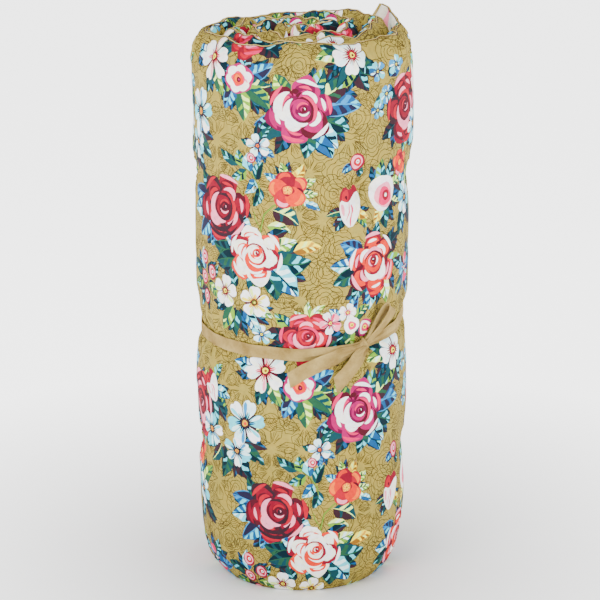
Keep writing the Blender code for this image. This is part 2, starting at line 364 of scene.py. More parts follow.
def mute(c, keep, lift):
    """Ink softened towards its own grey, and lifted a little from black."""
    grey = 0.2126 * c[0] + 0.7152 * c[1] + 0.0722 * c[2]
    return tuple(min(1.0, (grey + (v - grey) * keep) * (1 - lift) + lift)
                 for v in c)


for _n in ("plum", "maroon", "crimson", "red", "coral", "orange", "pink",
           "magenta", "deepmag", "teal", "dteal", "green", "lime", "pale",
           "aqua", "sky", "blue", "navy", "yellow", "gold", "ochre",
           "olive"):
    C[_n] = mute(C[_n], 0.95, 0.0010)


class Art:
    def __init__(self, seed):
        self.polys = []
        self.r = random.Random(seed)

    def add(self, pts, colour, soft=True):
        if len(pts) < 3:
            return
        p = np.array(pts, float)
        if soft:
            for _ in range(1):
                q = np.roll(p, -1, 0)
                p = np.stack([p * 0.75 + q * 0.25, p * 0.25 + q * 0.75],
                             1).reshape(-1, 2)
        self.polys.append((p, C[colour]))

    def j(self, a):
        return self.r.uniform(-a, a)

    def blob(self, x, y, rx, ry, rot, colour, n=12, wob=0.10, lobes=3):
        ph = self.r.uniform(0, TAU)
        pts = []
        for i in range(n):
            t = TAU * i / n
            m = 1 + wob * math.sin(lobes * t + ph) + self.j(wob * 0.35)
            px, py = rx * m * math.cos(t), ry * m * math.sin(t)
            pts.append((x + px * math.cos(rot) - py * math.sin(rot),
                        y + px * math.sin(rot) + py * math.cos(rot)))
        self.add(pts, colour)

    def arc(self, x, y, r, a0, a1, w, colour, n=7, sq=1.0, rot=0.0, lean=0.5):
        """Tapered brush stroke along an arc."""
        out, inn = [], []
        for i in range(n + 1):
            t = i / n
            a = a0 + (a1 - a0) * t
            ww = w * math.sin(math.pi * min(1, max(0, t))) ** 0.7
            ww *= 1 + self.j(0.12)
            ro, ri = r + ww * (1 - lean), r - ww * lean
            for rr, dst in ((ro, out), (ri, inn)):
                px, py = rr * math.cos(a), rr * math.sin(a) * sq
                dst.append((x + px * math.cos(rot) - py * math.sin(rot),
                            y + px * math.sin(rot) + py * math.cos(rot)))
        self.add(out + inn[::-1][1:-1], colour)

    def stroke(self, pts, w, colour, taper=True):
        """Ribbon along a polyline, thinning at its ends."""
        n = len(pts)
        left, right = [], []
        for i, (x, y) in enumerate(pts):
            x0, y0 = pts[max(0, i - 1)]
            x1, y1 = pts[min(n - 1, i + 1)]
            d = math.hypot(x1 - x0, y1 - y0) or 1
            nx, ny = -(y1 - y0) / d, (x1 - x0) / d
            ww = w / 2
            if taper:
                t = i / (n - 1)
                ww *= 0.35 + 0.65 * math.sin(math.pi * t) ** 0.6
            left.append((x + nx * ww, y + ny * ww))
            right.append((x - nx * ww, y - ny * ww))
        self.add(left + right[::-1], colour, False)

    # ---- leaves
    def leaf(self, x, y, L, W, ang, pal, bend=0.12):
        """Two-tone leaf from its base (x, y), with veins and lit patches."""
        dark, mid, lit, vein = pal
        ca, sa = math.cos(ang), math.sin(ang)

        def at(t, off):
            px = L * t
            py = bend * L * math.sin(math.pi * t * 0.9) + off
            return (x + px * ca - py * sa, y + px * sa + py * ca)

        def prof(t):
            return W / 2 * (math.sin(math.pi * min(t, 1) ** 0.74) ** 0.8)
        ts = [0, 0.12, 0.30, 0.48, 0.64, 0.80, 0.91, 1.0]
        ser = [0, 0, 0.12, -0.06, 0.14, -0.08, 0.10, 0]
        up = [at(t, prof(t) * (1 + q)) for t, q in zip(ts, ser)]
        dn = [at(t, -prof(t) * (1 + q)) for t, q in zip(ts, ser)]
        mids = [at(t, 0) for t in ts]
        self.add(up + dn[::-1][1:-1], dark, False)
        self.add(mids + up[::-1][1:-1], mid, False)
        # lit patches between the veins, as slanting brush marks
        lo = self.r.uniform(0.14, 0.26)
        for i in range(3):
            t0 = lo + 0.235 * i
            t1, t2, t3 = (min(q, 0.97) for q in (t0 + .15, t0 + .30,
                                                 t0 + .19))
            if self.r.random() < 0.85:
                self.add([at(t0, 0.02 * W), at(t1, prof(t1) * 0.62),
                          at(t1 + .02, prof(t1 + .02) * 0.93),
                          at(t2, prof(t2) * 0.95),
                          at(t3 + .04, prof(t3) * 0.40),
                          at(t3, 0.03 * W)],
                         (lit, lit, vein)[self.r.randrange(3)])
            if self.r.random() < 0.75:
                t0 += 0.05
                t1, t2, t3 = (min(q, 0.96) for q in (t0 + .14, t0 + .27,
                                                     t0 + .17))
                self.add([at(t0, -0.03 * W), at(t1, -prof(t1) * 0.55),
                          at(t1 + .02, -prof(t1 + .02) * 0.90),
                          at(t2, -prof(t2) * 0.88),
                          at(t3 + .03, -prof(t3) * 0.40),
                          at(t3, -0.04 * W)],
                         (mid, mid, lit)[self.r.randrange(3)])
        self.stroke([at(t, 0) for t in (0, .25, .5, .75, .96)], W * 0.07,
                    vein)
        if pal[0] != "plum":
            self.stroke([at(t, -prof(t) * 0.97)
                         for t in (.22, .40, .58, .76, .92)], W * 0.06, vein)

    def foliage(self, x, y, r, items):
        for ang, L, W, pal in items:
            a = math.radians(ang + self.r.uniform(10, 20))
            self.leaf(x + r * 0.8 * math.cos(a), y + r * 0.8 * math.sin(a),
                      L * 1.18, W * 1.05, a + self.j(0.3), LEAF["shade"],
                      self.j(0.16))
        for ang, L, W, pal in items:
            a = math.radians(ang)
            self.leaf(x + r * 0.9 * math.cos(a), y + r * 0.9 * math.sin(a),
                      L * 1.2, W * 1.2, a + self.j(0.25), LEAF[pal],
                      self.j(0.16))

    # ---- flowers
    def rose(self, x, y, R, pal, rot=0.0, sq=1.0):
        """Full-blown rose: outer petals, cupped middle, heart to one side."""
        dark, mid, lit, pale, core = pal
        R = R * 1.04
        n = 6
        for i in range(n):
            a = rot + TAU * i / n + self.j(0.16)
            d = 0.60 + self.j(0.05)
            cx, cy = x + R * d * math.cos(a), y + R * d * math.sin(a) * sq
            s1 = R * (0.45 + self.j(0.05))
            self.blob(cx, cy, s1, s1 * 0.92, a, (dark, mid, core)[i % 3], 13,
                      0.10, 4)
            self.blob(cx - .12 * s1 * math.cos(a), cy - .12 * s1 *
                      math.sin(a), s1 * 0.72, s1 * 0.70, a,
                      (mid, dark, mid)[i % 3], 9, 0.12)
            self.arc(x, y, R * (0.90 + self.j(.03)), a - 0.42, a + 0.40,
                     R * 0.13, (lit, pale, lit, mid)[i % 4], 6, sq)
            self.arc(x, y, R * 0.72, a - 0.28, a + 0.34, R * 0.10,
                     (pale, lit, mid)[i % 3], 5, sq)
            self.arc(x, y, R * 0.60, a + 0.30, a + 0.72, R * 0.16, core, 4,
                     sq)
        for i in range(4):
            a = rot + 0.7 + TAU * i / 4 + self.j(0.15)
            cx, cy = x + R * .33 * math.cos(a), y + R * .33 * math.sin(a) * sq
            self.blob(cx, cy, R * .38, R * .33, a, (mid, dark, lit, mid)[i],
                      12, 0.10, 3)
            self.arc(cx, cy, R * .27, a - 1.2, a + 1.2, R * .15,
                     (pale, lit, pale, pale)[i], 7)
            self.arc(cx, cy, R * .33, a + 1.0, a + 2.3, R * .09, core, 4)
        # the bowl, its deep side and two broad swoops of light
        self.blob(x + .03 * R, y, R * .44, R * .41 * sq, rot, core, 13, 0.07)
        self.blob(x - .02 * R, y + .02 * R, R * .36, R * .35 * sq, rot, mid,
                  11, 0.08)
        self.arc(x + .02 * R, y, R * .44, rot + 1.7, rot + 4.9, R * .21, pale,
                 9, sq)
        self.arc(x + .04 * R, y, R * .31, rot + 2.0, rot + 4.6, R * .08, dark,
                 7, sq)
        self.arc(x, y - .02 * R, R * .46, rot - 1.2, rot + 1.1, R * .13, lit,
                 7, sq)
        self.arc(x, y, R * .38, rot - 0.9, rot + 1.5, R * .06, core, 6, sq)
        hx, hy = x + 0.10 * R * math.cos(rot), y + 0.10 * R * math.sin(rot)
        self.blob(hx, hy, R * 0.25, R * 0.22 * sq, rot, dark, 10, 0.10)
        self.arc(hx, hy, R * 0.19, rot + 0.2, rot + 2.9, R * 0.08, lit, 6)
        self.arc(hx, hy, R * 0.18, rot + 3.3, rot + 5.6, R * 0.07, pale, 6)
        self.blob(hx, hy, R * 0.125, R * 0.11, rot, core, 8, 0.1)
        self.arc(hx, hy, R * 0.075, rot + 1.0, rot + 3.8, R * 0.045, mid, 5)
        self.arc(hx, hy, R * 0.05, rot - 1.0, rot + 1.0, R * 0.03, pale, 4)

    def open_flower(self, x, y, R, n, petal, shade, streak, eye, rot=0.0,
                    width=0.62, tip=0.0):
        """Single flower with n petals over a dark gap, streaked within."""
        R = R * 1.05
        back = "plum" if streak in ("dteal", "navy", "blue") else "maroon"
        self.blob(x, y, R * .62, R * .60, rot, back, 10, 0.14, n)
        for i in range(n):
            a = rot + TAU * i / n + self.j(0.10)
            L = R * (1 + self.j(0.09))
            w = R * width * 3.6 / n * (1 + self.j(0.1))
            ca, sa = math.cos(a), math.sin(a)

            def at(f, o):
                return (x + L * f * ca - w * o * sa,
                        y + L * f * sa + w * o * ca)
            base = petal[i % len(petal)]
            self.add([at(0.08, 0), at(0.30, 0.24), at(0.62, 0.52),
                      at(0.86, 0.48), at(0.99, 0.22), at(0.95 - tip, 0.0),
                      at(0.99, -0.24), at(0.84, -0.49), at(0.58, -0.50),
                      at(0.28, -0.22)], base)
            self.add([at(0.12, 0.02), at(0.34, 0.22), at(0.66, 0.48),
                      at(0.88, 0.42), at(0.74, 0.16)],
                     shade[i % len(shade)])
            self.add([at(0.10, -0.12), at(0.30, -0.20), at(0.60, -0.10),
                      at(0.30, 0.03)], shade[(i + 1) % len(shade)])
            for o, f in ((0.02, 0.62), (0.18, 0.48), (-0.20, 0.54)):
                self.add([at(0.10, o * 0.4 - 0.07), at(f, o),
                          at(0.12, o * 0.4 + 0.08)], streak)
        self.blob(x, y, R * 0.23, R * 0.22, rot, eye[0], 9, 0.14, 4)
        self.blob(x, y, R * 0.15, R * 0.14, rot, eye[1], 8, 0.10)
        self.blob(x + R * .02, y - R * .01, R * 0.075, R * 0.07, rot, eye[2],
                  6, 0.08)

    def camellia(self, x, y, R, rot=0.0):
        self.blob(x, y, R, R * 0.94, rot, "magenta", 14, 0.05, 6)
        for i in range(6):
            a = rot + TAU * i / 6
            self.blob(x + .44 * R * math.cos(a), y + .42 * R * math.sin(a),
                      R * .46, R * .42, a, "blush" if i % 2 else "white", 10,
                      0.07)
            self.arc(x + .44 * R * math.cos(a), y + .42 * R * math.sin(a),
                     R * .34, a + 1.0, a + 2.6, R * .12, "lpink", 5)
        self.blob(x, y, R * .46, R * .48, rot, "pink", 9, 0.16, 5)
        self.blob(x, y, R * .38, R * .42, rot, "coral", 9, 0.15, 5)
        self.blob(x - .04 * R, y + .03 * R, R * .22, R * .25, rot, "orange",
                  8, 0.1)
        self.blob(x + .04 * R, y - .05 * R, R * .15, R * .18, rot, "maroon",
                  7, 0.1)
        self.blob(x + .06 * R, y - .05 * R, R * .06, R * .08, rot, "magenta",
                  6, 0.1)

    def poppy(self, x, y, R, rot=0.0):
        for i, col in enumerate(("red", "crimson", "coral", "red", "coral")):
            a = rot + TAU * i / 5
            cx, cy = x + .48 * R * math.cos(a), y + .46 * R * math.sin(a)
            self.blob(cx, cy, R * .56, R * .50, a, col, 11, 0.10)
            self.arc(cx, cy, R * .36, a - 1.0, a + 1.3, R * .24,
                     ("orange", "coral", "orange", "lpink", "orange")[i], 6)
            self.arc(cx, cy, R * .47, a + 1.0, a + 2.2, R * .12, "maroon", 4)
        self.blob(x, y, R * .34, R * .30, rot, "crimson", 9, 0.14, 4)
        self.blob(x, y, R * .27, R * .24, rot, "orange", 9, 0.14, 5)
        for i in range(7):
            a = rot + TAU * i / 7
            self.stroke([(x + .04 * R * math.cos(a), y + .04 * R *
                          math.sin(a)),
                         (x + .12 * R * math.cos(a + .3), y + .12 * R *
                          math.sin(a + .3)),
                         (x + .21 * R * math.cos(a), y + .21 * R *
                          math.sin(a))], R * .05, "yellow")
        self.blob(x, y, R * .05, R * .05, 0, "ochre", 5, 0)

    def tulip(self, x, y, W, H, ang):
        ca, sa = math.cos(ang), math.sin(ang)

        def at(px, py):
            return (x + px * W * ca - py * H * sa,
                    y + px * W * sa + py * H * ca)
        self.add([at(-.5, .30), at(-.34, .52), at(-.05, .42), at(.10, .60),
                  at(.42, .44), at(.36, .1), at(-.40, .05)], "crimson")
        self.add([at(-.40, .34), at(-.2, .47), at(-.02, .28), at(-.12, .12),
                  at(-.34, .14)], "red")
        self.add([at(-.26, .26), at(-.12, .30), at(-.10, .16)], "maroon")
        self.add([at(-.44, .18), at(-.12, .12), at(.0, .16), at(.18, .34),
                  at(.42, .42), at(.54, .12), at(.44, -.22), at(.16, -.50),
                  at(-.22, -.34), at(-.42, -.08)], "cream")
        self.add([at(.02, .14), at(.12, -.1), at(.04, -.30), at(.16, -.48),
                  at(.12, -.20), at(.20, -.02)], "pink")
        self.add([at(.22, .30), at(.44, .36), at(.48, .1), at(.30, -.1)],
                 "blush")
        self.add([at(-.40, .10), at(-.22, .05), at(-.16, -.24), at(-.34,
                                                                  -.10)],
                 "lpink")
        self.stroke([at(-.02, .14), at(.0, -.1), at(-.08, -.3)], W * .05,
                    "pink")

    def bud(self, x, y, R, cols=("crimson", "lpink", "red", "cream")):
        self.blob(x, y, R, R * 1.12, 0, cols[0], 10, 0.05)
        self.blob(x - .06 * R, y + .02 * R, R * .80, R * .90, 0, cols[1], 9,
                  0.08)
        self.blob(x + .05 * R, y, R * .52, R * .60, 0.4, cols[2], 8, 0.1)
        self.blob(x + .06 * R, y + .05 * R, R * .26, R * .28, 0, cols[3], 6,
                  0.08)
        self.blob(x + .08 * R, y + .03 * R, R * .11, R * .12, 0, "maroon", 5,
                  0)

    def stem(self, pts, w=1.7, colour="olive"):
        self.stroke(pts, w, colour)
        self.stroke([(x + 0.35, y + 0.3) for x, y in pts], w * 0.4, "lime")

    # ---- line drawing in the ground
    def line_path(self, pts, w=0.72):
        self.stroke(pts, w, "line", taper=False)

    def line_flower(self, x, y, R, n, rot):
        for i in range(n):
            a = rot + TAU * i / n
            L = R * (1 + self.j(0.1))
            w = R * 3.2 / n

            def at(f, o):
                return (x + L * f * math.cos(a) - w * o * math.sin(a),
                        y + L * f * math.sin(a) + w * o * math.cos(a))
            self.line_path([at(.26, -.10), at(.66, -.46), at(.95, -.30),
                            at(.96, 0), at(.96, .30), at(.66, .46),
                            at(.26, .10)])
            self.line_path([at(.30, .02), at(.78, .05)], 0.60)
            self.line_path([at(.34, .09), at(.72, .20)], 0.56)
            self.line_path([at(.40, .18), at(.64, .34)], 0.54)
            self.line_path([at(.36, -.09), at(.70, -.20)], 0.56)
            self.line_path([at(.42, -.18), at(.60, -.33)], 0.54)
        for rr in (0.25, 0.13):
            m = 7
            self.line_path([(x + R * rr * math.cos(TAU * i / m),
                             y + R * rr * math.sin(TAU * i / m))
                            for i in range(m + 1)], 0.62)

    def line_leaf(self, x, y, L, W, ang):
        ca, sa = math.cos(ang), math.sin(ang)

        def at(t, o):
            return (x + L * t * ca - o * sa, y + L * t * sa + o * ca)
        for s in (1, -1):
            self.line_path([at(t, s * W / 2 * math.sin(math.pi * t ** .8))
                            for t in (0, .2, .45, .72, 1)])
        self.line_path([at(0, 0), at(.95, W * .03)], 0.62)
        for i in range(3):
            t = 0.22 + 0.22 * i
            for s in (1, -1):
                self.line_path([at(t, 0), at(t + .14, s * W * .30)], 0.56)

    def line_fan(self, x, y, R, rot):
        """Shell of close arcs, as on the back of a drawn petal."""
        for i in range(6):
            q = R * (0.30 + 0.14 * i)
            self.line_path([(x + q * math.cos(rot + d),
                             y + q * math.sin(rot + d))
                            for d in (-.85, -.42, 0, .42, .85)], 0.58)

    def line_rose(self, x, y, R, rot):
        for ring, (rr, n) in enumerate(((0.97, 6), (0.72, 5), (0.48, 4),
                                        (0.27, 3))):
            for i in range(n):
                a = rot + ring * .6 + TAU * i / n
                pts = []
                for q in range(5):
                    t = a + TAU / n * 1.14 * q / 4
                    m = R * rr * (0.84 + 0.18 * math.sin(math.pi * q / 4))
                    pts.append((x + m * math.cos(t), y + m * math.sin(t)))
                self.line_path(pts)
        self.line_path([(x + R * (.04 + .10 * i / 5) * math.cos(rot + i),
                         y + R * (.04 + .10 * i / 5) * math.sin(rot + i))
                        for i in range(6)], 0.6)


LEAF = {
    "teal": ("dteal", "teal", "aqua", "green"),
    "blue": ("navy", "blue", "aqua", "sky"),
    "aqua": ("blue", "aqua", "ice", "dteal"),
    "plum": ("plum", "teal", "green", "pale"),
    "lime": ("green", "lime", "pale", "teal"),
    "pale": ("lime", "pale", "ice", "green"),
    "gold": ("ochre", "yellow", "pale", "gold"),
    "deep": ("plum", "dteal", "aqua", "teal"),
    "mix": ("teal", "lime", "aqua", "dteal"),
    "shade": ("plum", "dteal", "blue", "teal"),
}

TILE_W, TILE_DX, TILE_H = 345.0, 65.0, 332.0


def draw_tile():
    """One repeat of the cloth; X -206 to 139, Z about 268 to 600."""
    g = Art(5)
    # drawn flowers and leaves in the ground, on a jittered grid
    nx, nz = 12, 12
    for i in range(nx):
        for jz in range(nz):
            z = 268 + TILE_H * (jz + 0.5 + g.j(0.22)) / nz
            x = -206 + TILE_W * (i + 0.5 + g.j(0.22)) / nx + \
                (jz % 2) * TILE_W / nx * 0.5
            x -= TILE_DX * (z - 268) / TILE_H
            kind = g.r.random()
            if kind < 0.40:
                g.line_flower(x, z, g.r.uniform(20, 27), g.r.choice((5, 6)),
                              g.r.uniform(0, 6))
            elif kind < 0.70:
                g.line_rose(x, z, g.r.uniform(18, 25), g.r.uniform(0, 6))
            else:
                a0 = g.r.uniform(0, TAU)
                g.line_fan(x, z, g.r.uniform(13, 18), a0 + 1.0)
                for q in range(3):
                    g.line_leaf(x, z, g.r.uniform(20, 30),
                                g.r.uniform(10, 14), a0 + q * 2.1 + g.j(.3))

    # --- leaves and stems first, flowers over them
    f = g.foliage
    f(-1, 538, 22, [(-28, 30, 20, "teal"), (8, 38, 22, "blue"),
                    (38, 34, 19, "plum"), (64, 26, 14, "mix"),
                    (152, 24, 17, "plum"), (128, 22, 14, "lime"),
                    (192, 26, 17, "blue"), (222, 30, 17, "teal"),
                    (-62, 34, 20, "aqua"), (-42, 30, 18, "aqua"),
                    (-82, 26, 15, "teal")])
    f(-67, 571, 12, [(20, 26, 15, "blue"), (-10, 22, 14, "plum"),
                     (-48, 30, 16, "lime"), (-85, 30, 15, "lime"),
                     (-120, 24, 13, "blue"), (60, 18, 12, "deep"),
                     (-150, 22, 13, "mix")])
    f(-106, 586, 12, [(-60, 26, 12, "lime"), (-100, 24, 12, "teal"),
                      (-20, 22, 12, "deep"), (170, 24, 12, "aqua")])
    f(54, 596, 10, [(-70, 30, 16, "deep"), (-110, 26, 14, "mix"),
                    (-40, 24, 13, "teal"), (200, 26, 13, "pale"),
                    (170, 22, 11, "teal")])
    f(96, 560, 12, [(-60, 26, 12, "deep"), (-110, 20, 10, "mix"),
                    (30, 20, 11, "blue")])
    f(133, 528, 20, [(-140, 26, 14, "deep"), (-90, 26, 13, "mix"),
                     (-40, 24, 14, "teal"), (60, 24, 14, "lime")])
    f(-155, 508, 20, [(-30, 32, 16, "teal"), (-62, 34, 16, "deep"),
                      (-95, 30, 14, "teal"), (-125, 26, 13, "plum"),
                      (20, 26, 14, "lime"), (150, 24, 13, "aqua"),
                      (200, 26, 14, "teal"), (95, 24, 13, "mix")])
    f(-45, 500, 5, [(60, 18, 7, "teal"), (-40, 14, 7, "blue"),
                    (160, 13, 6, "teal"), (-95, 14, 7, "blue")])
    # compound leaf above the dark rose
    for i, (dx, dz, an, L) in enumerate(((0, 0, 150, 30), (4, -3, 105, 20),
                                         (10, -8, 85, 22), (16, -16, 60, 24),
                                         (6, -6, 205, 22), (14, -16, 230,
                                                            20),
                                         (20, -24, 250, 22))):
        g.leaf(-66 + dx, 478 + dz, L, 12, math.radians(an),
               LEAF[("teal", "mix", "aqua")[i % 3]])
    g.stem([(-66, 478), (-56, 470), (-48, 458), (-46, 446)], 1.5)
    f(-93, 428, 24, [(165, 30, 17, "blue"), (195, 30, 18, "aqua"),
                     (222, 30, 17, "blue"), (140, 24, 13, "teal"),
                     (250, 24, 14, "blue"), (-20, 18, 12, "aqua")])
    g.stem([(-46, 392), (-43, 412), (-40, 426), (-30, 436), (-20, 442)], 2.0)
    g.stem([(-43, 410), (-50, 420), (-52, 428)], 1.4)
    f(-14, 454, 14, [(70, 17, 9, "gold"), (100, 15, 8, "pale"),
                     (140, 15, 8, "aqua"), (30, 16, 8, "pale"),
                     (-15, 16, 7, "pale"), (-38, 14, 7, "pale")])
    g.leaf(-30, 432, 32, 20, math.radians(-32), LEAF["plum"])
    g.leaf(-36, 414, 26, 11, math.radians(-14), LEAF["pale"])
    f(-50, 382, 20, [(25, 26, 14, "pale"), (-8, 36, 22, "teal"),
                     (-36, 38, 22, "aqua"), (-60, 30, 18, "teal"),
                     (-100, 22, 13, "mix"), (170, 34, 18, "teal"),
                     (200, 32, 17, "teal"), (148, 20, 12, "aqua")])
    g.leaf(-8, 388, 30, 14, math.radians(6), LEAF["gold"])
    f(52, 432, 8, [(-60, 20, 9, "mix"), (-130, 18, 9, "deep"),
                   (200, 17, 8, "plum"), (-20, 16, 8, "gold")])
    f(96, 441, 12, [(-70, 24, 13, "teal"), (-110, 18, 10, "gold"),
                    (60, 26, 13, "deep"), (100, 24, 12, "mix"),
                    (20, 20, 11, "lime"), (-20, 18, 10, "plum")])
    f(60, 481, 5, [(205, 13, 7, "blue"), (-80, 12, 6, "teal")])
    g.leaf(4, 440, 17, 8, math.radians(-30), LEAF["aqua"])
    f(84, 368, 22, [(140, 26, 15, "blue"), (172, 28, 16, "aqua"),
                    (205, 28, 16, "teal"), (-95, 26, 14, "aqua"),
                    (-60, 28, 14, "pale"), (-120, 24, 12, "teal"),
                    (40, 26, 14, "deep"), (0, 24, 13, "mix"),
                    (80, 22, 11, "teal")])
    f(-70, 332, 14, [(-60, 28, 12, "aqua"), (-95, 28, 12, "teal"),
                     (-130, 28, 12, "lime"), (200, 24, 11, "deep"),
                     (-30, 26, 12, "pale"), (100, 20, 10, "teal")])
    f(-130, 342, 10, [(150, 22, 11, "teal"), (200, 22, 11, "mix"),
                      (250, 24, 11, "deep"), (40, 22, 10, "teal"),
                      (-30, 20, 9, "lime"), (100, 22, 10, "aqua")])
    for an, L in ((95, 20), (40, 22), (150, 20), (10, 16), (-175, 17)):
        g.leaf(10, 314, L, 8, math.radians(an), LEAF["pale"])
    g.stem([(10, 302), (10, 312), (11, 318)], 1.2, "teal")
    f(5, 292, 20, [(180, 26, 14, "deep"), (205, 28, 15, "teal"),
                   (-20, 26, 14, "teal"), (-50, 26, 14, "deep"),
                   (150, 22, 12, "mix")])
    f(52, 306, 10, [(-60, 22, 11, "lime"), (-100, 20, 10, "teal"),
                    (60, 20, 10, "blue"), (20, 20, 9, "lime"),
                    (150, 16, 8, "aqua")])
    f(-195, 349, 10, [(0, 24, 12, "blue"), (60, 22, 11, "teal"),
                      (140, 24, 12, "deep"), (-70, 26, 12, "blue"),
                      (220, 22, 11, "mix")])
    f(-182, 554, 10, [(-70, 30, 14, "teal"), (-110, 26, 13, "deep"),
                      (60, 22, 11, "mix"), (0, 20, 11, "aqua")])
    f(-206, 430, 10, [(-60, 30, 14, "deep"), (-100, 28, 13, "teal"),
                      (60, 26, 13, "lime"), (120, 24, 12, "aqua")])

    # --- flowers
    g.open_flower(-106, 586, 23, 6, ("cream", "blush", "white"),
                  ("ice", "lpink", "blush"), "red",
                  ("maroon", "yellow", "ochre"), 0.3, 0.95, 0.06)
    g.blob(-61, 601, 12, 10, 0.2, "crimson", 11, .08)
    g.arc(-61, 600, 8, 0.2, 2.9, 4, "coral", 6)
    g.arc(-61, 601, 6, 3.3, 5.9, 4, "red", 6)
    g.blob(-60, 602, 3, 2.4, 0, "maroon", 6, .1)
    g.camellia(-67, 571, 18, 0.2)
    g.rose(-1, 538, 33, ("deepmag", "magenta", "pink", "cream", "maroon"),
           0.4)
    g.arc(-9, 542, 15, 1.7, 4.6, 9, "cream", 9)
    g.open_flower(54, 596, 20, 5, ("white", "ice", "cream"),
                  ("ice", "blush"), "crimson", ("crimson", "yellow",
                                                "maroon"), 0.9, 1.05, 0.05)
    for x, z, r in ((86, 575, 10.5), (114, 577, 10.5), (99, 549, 10.5),
                    (86, 533, 9)):
        g.open_flower(x, z, r, 5, ("sky", "aqua", "blue"), ("ice", "aqua"),
                      "navy", ("navy", "yellow", "ochre"), x * 0.3, 1.0)
    g.rose(133, 528, 31, ("maroon", "crimson", "red", "lpink", "plum"), 1.1,
           1.25)
    g.tulip(-182, 554, 24, 36, 0.4)
    for x, z, r in ((-129, 525, 25), (-183, 506, 20), (-142, 490, 17)):
        g.blob(x, z, r * .62, r * .62, 0, "plum", 9, 0.15, 5)
        g.open_flower(x, z, r, 6, ("ice", "white", "aqua"),
                      ("sky", "aqua", "ice"), "dteal",
                      ("plum", "gold", "coral"), z * 0.11, 0.98, 0.05)
    g.open_flower(-45, 500, 12.5, 5, ("white", "ice"), ("aqua", "ice"),
                  "blue", ("dteal", "orange", "maroon"), 0.5, 0.95)
    g.bud(-53, 486, 5.4)
    g.rose(-93, 428, 35, ("maroon", "crimson", "red", "lpink", "plum"), 0.2)
    g.arc(-96, 424, 21, 3.6, 6.0, 5, "plum", 7)
    g.arc(-95, 425, 28, 3.4, 5.8, 4, "plum", 7)
    g.poppy(-14, 454, 21, 0.5)
    g.rose(-50, 382, 30, ("coral", "blush", "cream", "white", "crimson"),
           0.8)
    g.arc(-48, 378, 12, 2.6, 5.6, 6, "coral", 8)
    g.tulip(52, 432, 27, 44, -0.15)
    g.bud(60, 481, 9)
    g.poppy(128, 470, 15, 0.4)
    g.blob(96, 443, 18, 20, -.3, "white", 12, .07)
    g.blob(98, 440, 13, 14, 0, "lpink", 11, .1)
    g.blob(99, 439, 9.5, 10.5, 0, "pink", 10, .1)
    g.blob(100, 440, 5.5, 6.0, 0, "crimson", 8, .1)
    g.blob(100, 440, 2.2, 2.4, 0, "cream", 6, .0)
    g.arc(95, 446, 15, 1.2, 3.2, 3, "blush", 6)
    g.rose(84, 368, 31, ("crimson", "coral", "lpink", "cream", "maroon"),
           1.7, 1.12)
    g.open_flower(-89, 337, 17, 5, ("white", "cream"), ("blush", "pale"),
                  "crimson", ("maroon", "yellow", "ochre"), 1.5, 1.0)
    g.open_flower(-51, 330, 17, 5, ("cream", "white"), ("yellow", "pale"),
                  "gold", ("maroon", "olive", "yellow"), 0.2, 1.0)
    for x, z in ((-129, 366), (-132, 343), (-128, 322), (-114, 352)):
        g.bud(x, z, 8)
    g.open_flower(-195, 349, 18, 5, ("blue", "pink", "sky"),
                  ("aqua", "lpink"), "navy", ("navy", "cream", "crimson"),
                  0.4, 1.0)
    g.open_flower(-45, 294, 11, 5, ("aqua", "ice"), ("white", "sky"), "blue",
                  ("dteal", "yellow", "ochre"), 0.2, 0.95)
    g.rose(5, 292, 29, ("crimson", "red", "pink", "lpink", "maroon"), 0.9,
           0.92)
    g.open_flower(32, 308, 12.5, 5, ("lpink", "white"), ("pink", "blush"),
                  "magenta", ("crimson", "yellow", "ochre"), 0.8, 1.0)
    g.open_flower(52, 318, 10, 5, ("white", "cream"), ("blush", "ice"),
                  "pink", ("crimson", "yellow", "ochre"), 0.1, 1.05)
    g.bud(57, 303, 9, ("cream", "white", "pink", "yellow"))
    g.bud(75, 298, 9.5, ("magenta", "blush", "pink", "yellow"))
    g.open_flower(-206, 430, 17, 6, ("ice", "white", "aqua"),
                  ("sky", "aqua"), "dteal", ("plum", "gold", "coral"), 0.7,
                  0.98)
    return g.polys


ART_SCALE = 0.985


def clip_poly(p, a0, a1, u0, u1):
    for axis, bound, keep in ((0, a0, 1), (0, a1, -1), (1, u0, 1),
                              (1, u1, -1)):
        if len(p) < 3:
            return None
        out = []
        d = (p[:, axis] - bound) * keep
        for i in range(len(p)):
            j = (i + 1) % len(p)
            if d[i] >= 0:
                out.append(p[i])
            if (d[i] >= 0) != (d[j] >= 0):
                t = d[i] / (d[i] - d[j])
                out.append(p[i] + (p[j] - p[i]) * t)
        p = np.array(out)
    return p if len(p) >= 3 else None


def simplify(chain, tol):
    """Drop points of a polyline that lie within tol of its course."""
    if len(chain) < 3:
        return chain
    keep = [0, len(chain) - 1]
    todo = [(0, len(chain) - 1)]
    while todo:
        i, j = todo.pop()
        if j - i < 2:
            continue
        a, b = chain[i], chain[j]
        ab = b - a
        n = np.hypot(*ab)
        seg = chain[i + 1:j] - a
        if n < 1e-9:
            d = np.hypot(seg[:, 0], seg[:, 1])
        else:
            d = np.abs(seg[:, 0] * ab[1] - seg[:, 1] * ab[0]) / n
        m = int(np.argmax(d))
        if d[m] > tol:
            keep.append(i + 1 + m)
            todo += [(i, i + 1 + m), (i + 1 + m, j)]
    return chain[sorted(keep)]


